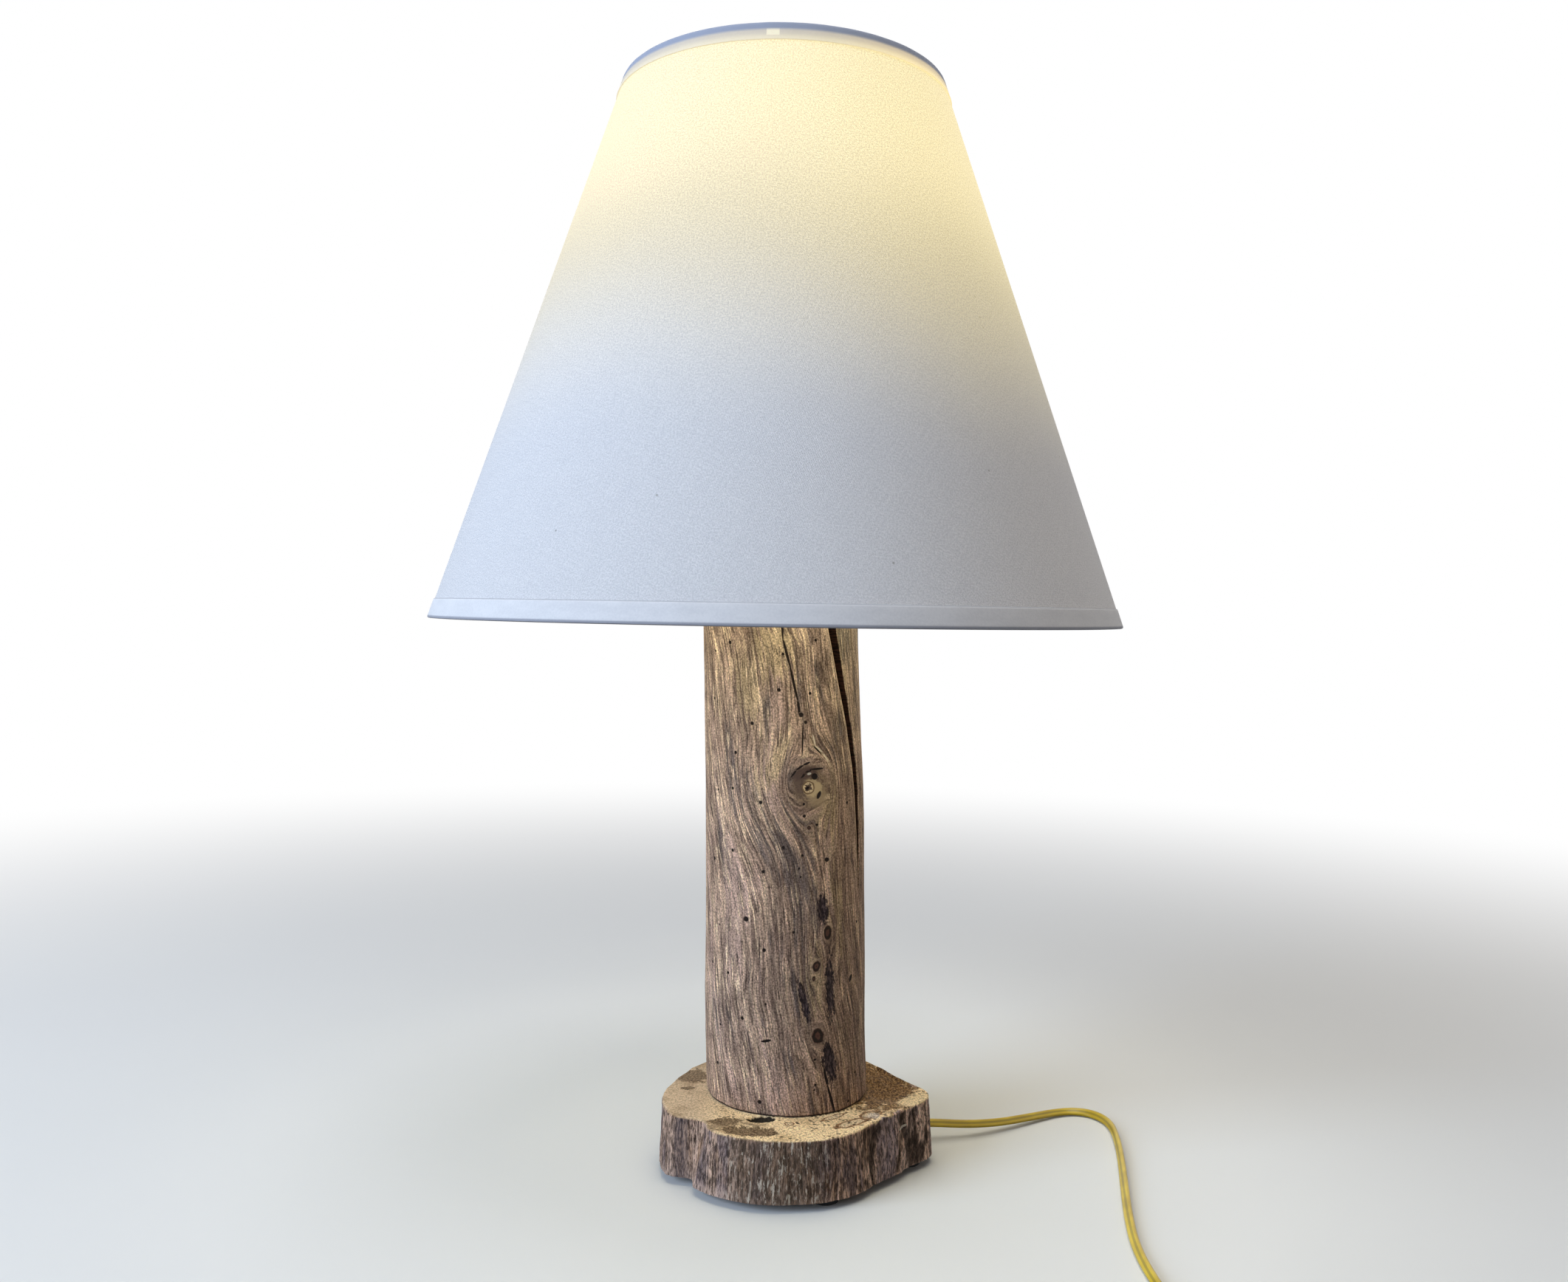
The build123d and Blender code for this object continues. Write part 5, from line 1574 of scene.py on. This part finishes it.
@dataclass
class ClothShade:
    """The cone shade: outer cloth with its lap seam, rim tapes, lining and wires. Sizes in mm."""

    bottom_radius: float = 203.2
    top_radius: float = 95.85
    bottom: float = 324.9
    top: float = 640.2
    cloth: float = 0.8
    columns: int = 320
    rows: int = 40
    seam_width: float = 12.0
    seam_lift: float = 0.45
    tape: float = 0.6
    tape_gap: float = 0.1
    tape_top: float = 10.0
    tape_bottom: float = 10.6
    wall: float = 1.5

    @property
    def slope(self) -> float:
        """Radius lost for each millimetre of height."""
        return (self.bottom_radius - self.top_radius) / (self.top - self.bottom)

    def radius(self, height: Grid | float) -> Grid | float:
        """Outer radius of the cloth at a height."""
        return self.bottom_radius - (height - self.bottom) * self.slope

    def build_cloth(self) -> Object:
        """Make the cloth: a cone's wall r(z) = bottom radius less slope times height, lifted along its lap seam.

        The UV map is the flat pattern: angle round the cone times its sine, and the distance from its apex.

        Returns:
            The new piece.
        """
        angle = ring_angles(self.columns) - 1.5 * math.pi
        height = np.linspace(self.bottom, self.top, self.rows)[:, None]
        outer = self.radius(height)
        past = np.mod(angle + 1.5 * math.pi, TURN) * outer
        lift = self.seam_lift * np.clip(1 - past / self.seam_width, 0, 1)
        skin, back = polar(outer + lift, angle, height), polar(outer - self.cloth, angle, height)
        points = np.concatenate([skin, back[::-1]])
        faces = ring_faces(len(points), self.columns, True)
        sine = self.slope / math.hypot(1, self.slope)
        reach = np.concatenate([outer, outer[::-1]]) / sine
        wide = np.concatenate([angle, angle[:, :1] + TURN], 1)
        spread = (wide + math.pi / 2) * sine
        flat = np.stack([reach * np.sin(spread), -reach * np.cos(spread)], -1)
        return make_mesh("shade_cloth", points * MM, faces, 60.0, None, {"pattern": corner_grid(flat, True)})

    def tape_profile(self, rim: Rim) -> Grid:
        """Outline of a tape, outer face first: along the cloth, round the rim and back, offset by its thickness.

        Args:
            rim: The rim that the tape goes round.

        Returns:
            Pairs of radius and height, in mm.
        """
        gap = self.tape_gap
        if rim is Rim.TOP:
            way, fold, start = 1, self.top, self.top - self.tape_top
            edge, inner = self.top_radius, self.top_radius - self.wall - 3.0
            turn = [(edge + gap + self.tape * 0.8, fold + 0.1), (edge + gap, fold + self.tape * 0.85),
                    (edge - 1.2, fold + self.tape), (inner + 0.4, fold + self.tape * 0.9), (inner, fold + 0.2),
                    (inner + 0.5, fold), (edge - 1.0, fold), (edge + gap, fold - 0.05)]
        else:
            way, fold, start = -1, self.bottom, self.bottom + self.tape_bottom
            edge, inner = self.bottom_radius, self.bottom_radius - self.wall - 3.2
            turn = [(edge + gap + self.tape * 0.8, fold - 0.1), (edge + gap - 0.1, fold - self.tape * 0.85),
                    (edge - 1.6, fold - self.tape), (inner + 0.2, fold - self.tape * 0.8),
                    (inner - self.tape, fold + 0.3), (inner - self.tape - 7 * self.slope, fold + 7),
                    (inner - 7 * self.slope, fold + 7), (inner, fold + 0.5), (inner + 0.5, fold),
                    (edge - 1.0, fold)]
        heights = np.linspace(start + way * 1.2, fold - way * 0.8, 7)
        back = [(self.radius(start) + gap, start), (self.radius(start) + gap + self.tape, start + way * 0.25)]
        outer = [(self.radius(height) + gap + self.tape, height) for height in heights]
        under = [(self.radius(height) + gap, height) for height in heights[::-1]]
        return np.array(back + outer + turn + under)

    def build_tape(self, rim: Rim) -> Object:
        """Make a rim tape from its profile, with a faint pucker of its radius.

        Args:
            rim: The rim that the tape goes round.

        Returns:
            The new piece.
        """
        profile = self.tape_profile(rim) * MM
        angle = ring_angles(self.columns)
        pucker = 0.00009 * value_noise(polar(14, angle, 0), 101 if rim is Rim.TOP else 103, 2)
        points = polar(profile[:, :1] + pucker, angle, profile[:, 1:])
        faces = ring_faces(len(profile), self.columns, True)
        return make_mesh(f"rim_tape_{rim.name.lower()}", points, faces, 50.0)

    def dress(self) -> None:
        cloth = self.build_cloth()
        settle(cloth, ShadeCloth().material(), "shade", "shade_cloth", "shade_fabric")
        for rim in Rim:
            tape = self.build_tape(rim)
            settle(tape, RimTape(rim).material(), "shade", "shade_tape", f"shade_{rim.name.lower()}_trim")
        paint("shade_liner", ShadeLining().material())
        wire = Moulding("shade_wire", (0.62, 0.60, 0.56), 0.4).material()
        paint("shade_bottom_ring", wire)
        paint("shade_spider", wire)


def paint(node: str, material: Material) -> None:
    """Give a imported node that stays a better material.

    Args:
        node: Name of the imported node.
        material: Its new material.
    """
    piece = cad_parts[node]
    piece.data.materials.clear()
    piece.data.materials.append(material)


# Lead


@dataclass(frozen=True)
class ClearGoldLead:
    """Clear gold twin-lead: a web between two lobes, with copper strands showing through."""

    def material(self) -> Material:
        """Build the material on the lead's UV map: U goes round the section from 0 to 1, V is metres along it.

        Returns:
            The material.
        """
        board = Board("gold_lead", Roughness=0.28, Specular_IOR_Level=0.45)
        lay = board.sheet("lead")
        parts = board.axes(lay)
        turns = board.times(parts[0], TURN)
        broad = board.math("ABSOLUTE", board.math("COSINE", turns))
        core = board.gap(broad, 0.52)
        strands = board.noise(lay, (60, 420, 1), 2)
        cloud = board.noise(lay, (3, 45, 1), 2)
        colour = board.laid((0.52, 0.355, 0.005), (0.72, 0.52, 0.014), cloud, 0.35, 0.7)
        colour = board.laid(colour, (0.085, 0.048, 0.006), broad, 0.06, 0.22, 0.5, 0.0)
        shine = board.times(board.span(core, 0.05, 0.24, 1.0, 0.0), board.span(strands, 0.35, 0.7))
        colour = board.blend(board.times(shine, 0.45), colour, (0.66, 0.38, 0.13))
        board.set("Base Color", colour)
        board.relief(board.noise(lay, (30, 260, 1), 2), 0.00006, 0.5)
        return board.material


@dataclass
class PowerLead:
    """The free lead from the slab's bushing to the plug: a flat twin-lead with its put-away coil. Sizes in mm."""

    lobe: float = 1.33
    spread: float = 1.27
    around: int = 20
    coil_x: float = 156.5
    coil_y: float = -218.0
    coil_height: float = 3.5
    coil_radius: float = 41.0
    pitch: float = 5.8
    stations: int = 9
    half_turns: float = 14.5
    steps: int = 6
    plug_mouth: float = 7.1
    length: float = 1.8

    def free_route(self) -> Grid:
        """Points of the free stretch: x, y, z and the section's tilt from flat, in mm and degrees.

        Returns:
            The points, from the bushing on.
        """
        return np.array([
            (83.93, 16.31, 12.0, -48), (102, 20, 11.3, -48), (124, 24, 8.8, -46), (147, 33.5, 6.4, -42),
            (170, 48.5, 4.3, -36), (191, 62, 2.7, -30), (206, 64, 2.6, -40), (216.8, 56.4, 2.8, -54),
            (221.4, 41.7, 2.8, -62), (219.2, 18, 2.8, -62), (213.5, -14, 2.6, -50), (206.5, -47, 2.3, -34),
            (199.5, -81, 2.1, -24), (194, -116, 2.1, -24), (193.5, -150, 2.6, -50), (197.5, -188, 3.4, -85),
        ], float)

    def coil_route(self) -> Grid:
        """Points of the coil, worked out as half circles whose radii step by half a pitch, in and then back out.

        Half turn k runs between stations k and k + 1 on alternate sides of the coil's middle; the control
        points lie a little outside the circle, by one over the cosine of their step, so the curve lies on it.

        Returns:
            The points, with the section's tilt.
        """
        inward = self.coil_radius - np.arange(self.stations) * self.pitch / 2
        back = inward[-1] + np.arange(2, self.stations) * self.pitch / 2
        reach = np.concatenate([inward, back])
        station = self.coil_x + reach * (-1.0) ** np.arange(len(reach))
        middle = (station[:-1] + station[1:]) / 2
        radius = np.abs(station[:-1] - station[1:]) / 2
        count = int(self.half_turns * self.steps)
        along = np.arange(1, count + 1) / self.steps
        index = np.minimum(along.astype(int), len(radius) - 1)
        angle = -math.pi * along
        wide = radius[index] / math.cos(math.pi / self.steps / 2) ** 1.5
        x = middle[index] + wide * np.cos(angle)
        y = self.coil_y + wide * np.sin(angle)
        z = self.coil_height + self.pitch * smooth_step(self.stations - 2, self.stations - 1, along)
        return np.stack([x, y, z, 0 * x - 90], -1)

    def route(self) -> Grid:
        """All control points, from the bushing's mouth to the plug's.

        Returns:
            The points, with the section's tilt.
        """
        coil = self.coil_route()
        start = np.array([[self.coil_x + self.coil_radius, self.coil_y + 7, self.coil_height, -90]])
        x, y, z = coil[-1, :3]
        tail = np.array([(x - 8, y, z, -85), (x - 18, y, z - 0.8, -60), (x - 30, y, self.plug_mouth + 0.2, -20),
                         (x - 39.2, y, self.plug_mouth, 0)])
        return np.concatenate([self.free_route(), start, coil, tail])

    def centreline(self, route: Grid) -> Grid:
        """Points of the route's smooth curve, read back from a spline of order three.

        Args:
            route: Control points in mm, with the tilt in the fourth column.

        Returns:
            Points in metres with the tilt in degrees.
        """
        def read(columns: Grid) -> Grid:
            """Points of the smooth curve through three columns of numbers.

            Args:
                columns: Control points.

            Returns:
                Points along the curve.
            """
            curve = bpy.data.curves.new("lead_route", "CURVE")
            curve.dimensions = "3D"
            curve.resolution_u = 5
            spline = curve.splines.new("NURBS")
            spline.points.add(len(columns) - 1)
            spline.points.foreach_set("co", np.concatenate([columns, np.ones((len(columns), 1))], 1).ravel())
            spline.order_u = 3
            spline.use_endpoint_u = True
            holder = bpy.data.objects.new("lead_route", curve)
            mesh = bpy.data.meshes.new_from_object(holder)
            found = np.zeros(len(mesh.vertices) * 3)
            mesh.vertices.foreach_get("co", found)
            bpy.data.meshes.remove(mesh)
            bpy.data.objects.remove(holder)
            bpy.data.curves.remove(curve)
            return found.reshape(-1, 3)

        places = read(route[:, :3] * MM)
        tilts = read(np.concatenate([route[:, 3:] * MM, np.zeros((len(route), 2))], 1))
        return np.concatenate([places, tilts[:, :1] / MM], 1)

    def build(self) -> tuple[Object, Grid]:
        """Make the lead: its two-lobed section carried along the smooth curve and tilted about it.

        The section at angle t is spread tanh(3 cos t) + lobe cos t across, and lobe sin t thick, less a dip at
        the web.

        Returns:
            The new piece, and the points of its centreline in metres.
        """
        line = self.centreline(self.route())
        path, tilt = line[:, :3], np.radians(line[:, 3])
        ahead = np.gradient(path, axis=0)
        ahead /= np.linalg.norm(ahead, axis=1)[:, None]
        level = np.cross(ahead, (0.0, 0.0, 1.0))
        level /= np.linalg.norm(level, axis=1)[:, None]
        rise = np.cross(level, ahead)
        wide = level * np.cos(tilt)[:, None] + rise * np.sin(tilt)[:, None]
        thick = -level * np.sin(tilt)[:, None] + rise * np.cos(tilt)[:, None]
        t = np.linspace(0, TURN, self.around, endpoint=False) + TURN / self.around / 2
        across = self.spread * np.tanh(3 * np.cos(t)) + self.lobe * np.cos(t)
        up = self.lobe * np.sin(t) * (1 - 0.30 * np.exp(-(across / 0.8) ** 2))
        rings = path[:, None] + MM * (wide[:, None] * across[None, :, None] + thick[:, None] * up[None, :, None])
        points = np.concatenate([rings.reshape(-1, 3), path[:1], path[-1:]])
        count = len(path)
        faces = ring_faces(count, self.around, False)
        last = (count - 1) * self.around
        here = np.arange(self.around)
        beside = (here + 1) % self.around
        start, finish = len(points) - 2, len(points) - 1
        caps = np.concatenate([np.stack([0 * here + start, beside, here], -1),
                               np.stack([0 * here + finish, here + last, beside + last], -1)])
        mesh = bpy.data.meshes.new("flat_lead")
        quads = faces if self.points_out(points, faces, path) else faces[:, ::-1]
        if quads is not faces:
            caps = caps[:, ::-1]
        mesh.from_pydata(points.tolist(), [], quads.tolist() + caps.tolist())
        run = np.concatenate([[0], np.cumsum(np.linalg.norm(np.diff(path, axis=0), axis=1))])
        lay = np.stack([np.broadcast_to(np.append(t, t[0] + TURN) / TURN, (count, self.around + 1)),
                        np.broadcast_to(run[:, None], (count, self.around + 1))], -1)
        corners = corner_grid(lay, False).reshape(-1, 4, 2)
        if quads is not faces:
            corners = corners[:, ::-1]
        every = np.concatenate([corners.reshape(-1, 2), np.full((6 * self.around, 2), 0.25)])
        mesh.uv_layers.new(name="lead").data.foreach_set("uv", every.astype(np.float32).ravel())
        mesh.shade_smooth()
        mesh.set_sharp_from_angle(angle=math.radians(70))
        return link("flat_lead", mesh), path

    def points_out(self, points: Grid, faces: Grid, path: Grid) -> bool:
        """Whether the first ring's faces look away from the centreline.

        Args:
            points: The mesh's points.
            faces: Its quads.
            path: Points of the centreline.

        Returns:
            True where they do.
        """
        quad = points[faces[0]]
        normal = np.cross(quad[1] - quad[0], quad[3] - quad[0])
        return float(normal @ (quad.mean(0) - path[0])) > 0

    def dress(self) -> None:
        """Build and finish the lead, its plug, its tie and the bushing that it comes out of."""
        lead, path = self.build()
        settle(lead, ClearGoldLead().material(), "base", "gold_lead", "power_cord", "cord_coil", "cord_tail")
        gold = Moulding("gold_plug", (0.36, 0.245, 0.045), 0.3, 0.00003, 0.6).material()
        black = Moulding("black_moulding", (0.018, 0.018, 0.02), 0.42).material()
        paint("plug_body", gold)
        paint("plug_blades", Metal("blade_brass", (0.72, 0.55, 0.27), Polish.BRIGHT, (0.5, 0.36, 0.16)).material())
        paint("cord_tie", black)
        paint("cord_bushing", black)
        paint("switch_knob", black)
        paint("inner_lead", gold)


# Fittings


@dataclass
class Fittings:
    """The metal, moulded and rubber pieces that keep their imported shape."""

    def dress(self) -> None:
        """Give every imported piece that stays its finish."""
        bright = Metal("polished_brass", (0.78, 0.60, 0.30), Polish.BRIGHT, (0.58, 0.40, 0.18)).material()
        satin = Metal("satin_brass", (0.70, 0.55, 0.30), Polish.SATIN, (0.48, 0.35, 0.18)).material()
        zinc = Metal("zinc_plate", (0.60, 0.61, 0.62), Polish.PLATED, (0.42, 0.42, 0.40)).material()
        rolled = Metal("rolled_aluminium", (0.78, 0.78, 0.79), Polish.SATIN, (0.60, 0.60, 0.58)).material()
        rubber = Moulding("foot_rubber", (0.022, 0.022, 0.024), 0.72, 0.00008, 0.35).material()
        choices = {
            bright: ("post_cap", "pipe_neck", "centre_contact", "terminal_screws", "bulb_contact",
                     "harp_sleeve_left", "harp_sleeve_right", "harp_stud", "finial"),
            satin: ("harp_saddle", "socket_cap", "socket_shell", "harp_wire"),
            zinc: ("lamp_pipe", "bottom_washer", "bottom_nut", "top_nut"),
            rolled: ("screw_shell", "bulb_screw_base"),
            rubber: ("rubber_foot_left", "rubber_foot_front", "rubber_foot_right", "rubber_foot_back"),
            PressedPaper().material(): ("socket_insulator",),
            Moulding("brown_moulding", (0.060, 0.028, 0.016), 0.4).material(): ("socket_body",),
            Moulding("black_glass", (0.010, 0.010, 0.014), 0.12, 0.00001).material(): ("bulb_insulator",),
            Moulding("white_moulding", (0.78, 0.77, 0.74), 0.45).material(): ("bulb_housing",),
            Diffuser().material(): ("bulb_globe",),
        }
        for material, nodes in choices.items():
            for node in nodes:
                paint(node, material)


# Studio


@dataclass
class Studio:
    """Camera at the photograph's place, a pale floor and soft lights. Sizes in metres and degrees."""

    place: Triple = (0.00509, -0.77937, 0.3336)
    pitch: float = 1.52
    roll: float = 0.93
    lens: float = 29.505
    sensor: float = 36.0
    floor_size: float = 30.0

    def camera(self) -> None:
        """Stand the camera: it looks along +Y, dips by pitch, and is rolled so that its right side is low."""
        pitch, roll = math.radians(self.pitch), math.radians(self.roll)
        ahead = Vector((0, math.cos(pitch), -math.sin(pitch)))
        up = Vector((1, 0, 0)).cross(ahead)
        right = math.cos(roll) * Vector((1, 0, 0)) + math.sin(roll) * up
        head = -math.sin(roll) * Vector((1, 0, 0)) + math.cos(roll) * up
        data = bpy.data.cameras.new("camera")
        data.lens, data.sensor_width, data.sensor_fit = self.lens, self.sensor, "HORIZONTAL"
        data.clip_start, data.clip_end = 0.02, 60.0
        camera = link("camera", data)
        turn = Matrix((right, head, -ahead)).transposed()
        camera.matrix_world = Matrix.Translation(self.place) @ turn.to_4x4()
        bpy.context.scene.camera = camera

    def floor(self) -> None:
        """Lay the floor: pale near the lamp, where it takes its shadow, and plain white farther out."""
        size = self.floor_size
        mesh = bpy.data.meshes.new("floor")
        corners = [(-size, -size, 0), (size, -size, 0), (size, size, 0), (-size, size, 0)]
        mesh.from_pydata(corners, [], [(0, 1, 2, 3)])
        floor = link("floor", mesh)
        board = Board("pale_floor", Roughness=0.9, Specular_IOR_Level=0.1)
        place = board.place()
        away = board.span(board.length(place), 0.35, 1.7)
        paths = board.node("LightPath").outputs
        seen = board.add(paths["Is Camera Ray"], paths["Is Glossy Ray"])
        seen = board.math("ADD", seen, paths["Is Transmission Ray"], clamp=True)
        pale = board.blend(board.noise(place, (4, 4, 4), 2), (0.86, 0.86, 0.86), (0.89, 0.89, 0.88))
        board.set("Base Color", board.blend(seen, (0.26, 0.26, 0.26), pale))
        white = board.node("Emission", WHITE, 1.0)
        mix = board.node("MixShader", board.times(away, seen), board.shader.outputs[0], white.outputs[0])
        board.feed(board.tree.nodes["Material Output"].inputs["Surface"], mix.outputs[0])
        mesh.materials.append(board.material)

    def light(self, name: str, place: Triple, aim: Triple, size: float, power: float, colour: Triple) -> None:
        """Hang one square soft light.

        Args:
            name: Name of the light.
            place: Where it hangs.
            aim: The point that it faces.
            size: Length of its side.
            power: Its power in watts.
            colour: Its colour.
        """
        data = bpy.data.lights.new(name, "AREA")
        data.size, data.energy, data.color = size, power, colour
        lamp = link(name, data)
        lamp.location = place
        lamp.rotation_euler = (Vector(aim) - Vector(place)).to_track_quat("-Z", "Y").to_euler()

    def world(self) -> None:
        """Soft even light from all round, and white where the camera looks past the floor."""
        world = bpy.data.worlds.new("studio")
        bpy.context.scene.world = world
        world.use_nodes = True
        board = Tree(world.node_tree)
        paths = board.node("LightPath").outputs
        seen = board.math("MAXIMUM", paths["Is Camera Ray"], paths["Is Glossy Ray"])
        seen = board.math("MAXIMUM", seen, paths["Is Transmission Ray"])
        soft = board.tree.nodes["Background"]
        board.feed(soft.inputs[0], (1.0, 0.98, 0.95))
        board.feed(soft.inputs[1], 0.155)
        white = board.node("Background", WHITE, 1.0)
        mix = board.node("MixShader", seen, soft.outputs[0], white.outputs[0])
        board.feed(board.tree.nodes["World Output"].inputs["Surface"], mix.outputs[0])

    def build(self) -> None:
        """Set up the camera, the floor and the lights."""
        self.camera()
        self.floor()
        self.world()
        self.light("window", (-1.95, -1.15, 1.05), (0, 0, 0.35), 1.4, 51.0, (0.64, 0.79, 1.0))
        self.light("ceiling", (0.3, -0.2, 2.4), (0, 0, 0.3), 1.4, 21.0, (1.0, 0.97, 0.92))
        bpy.context.scene.view_settings.view_transform = "Standard"


def main() -> None:
    """Build every sub-assembly in order and report each one."""
    logging.basicConfig(level=logging.INFO, format="%(name)s: %(message)s")
    parts = (Studio().build, PowerLead().dress, DriftwoodPost().dress, BaseSlab().dress, ClothShade().dress,
             Fittings().dress)
    for part in parts:
        part()
        LOG.info("done: %s", type(part.__self__).__name__)


if __name__ == "__main__":
    main()
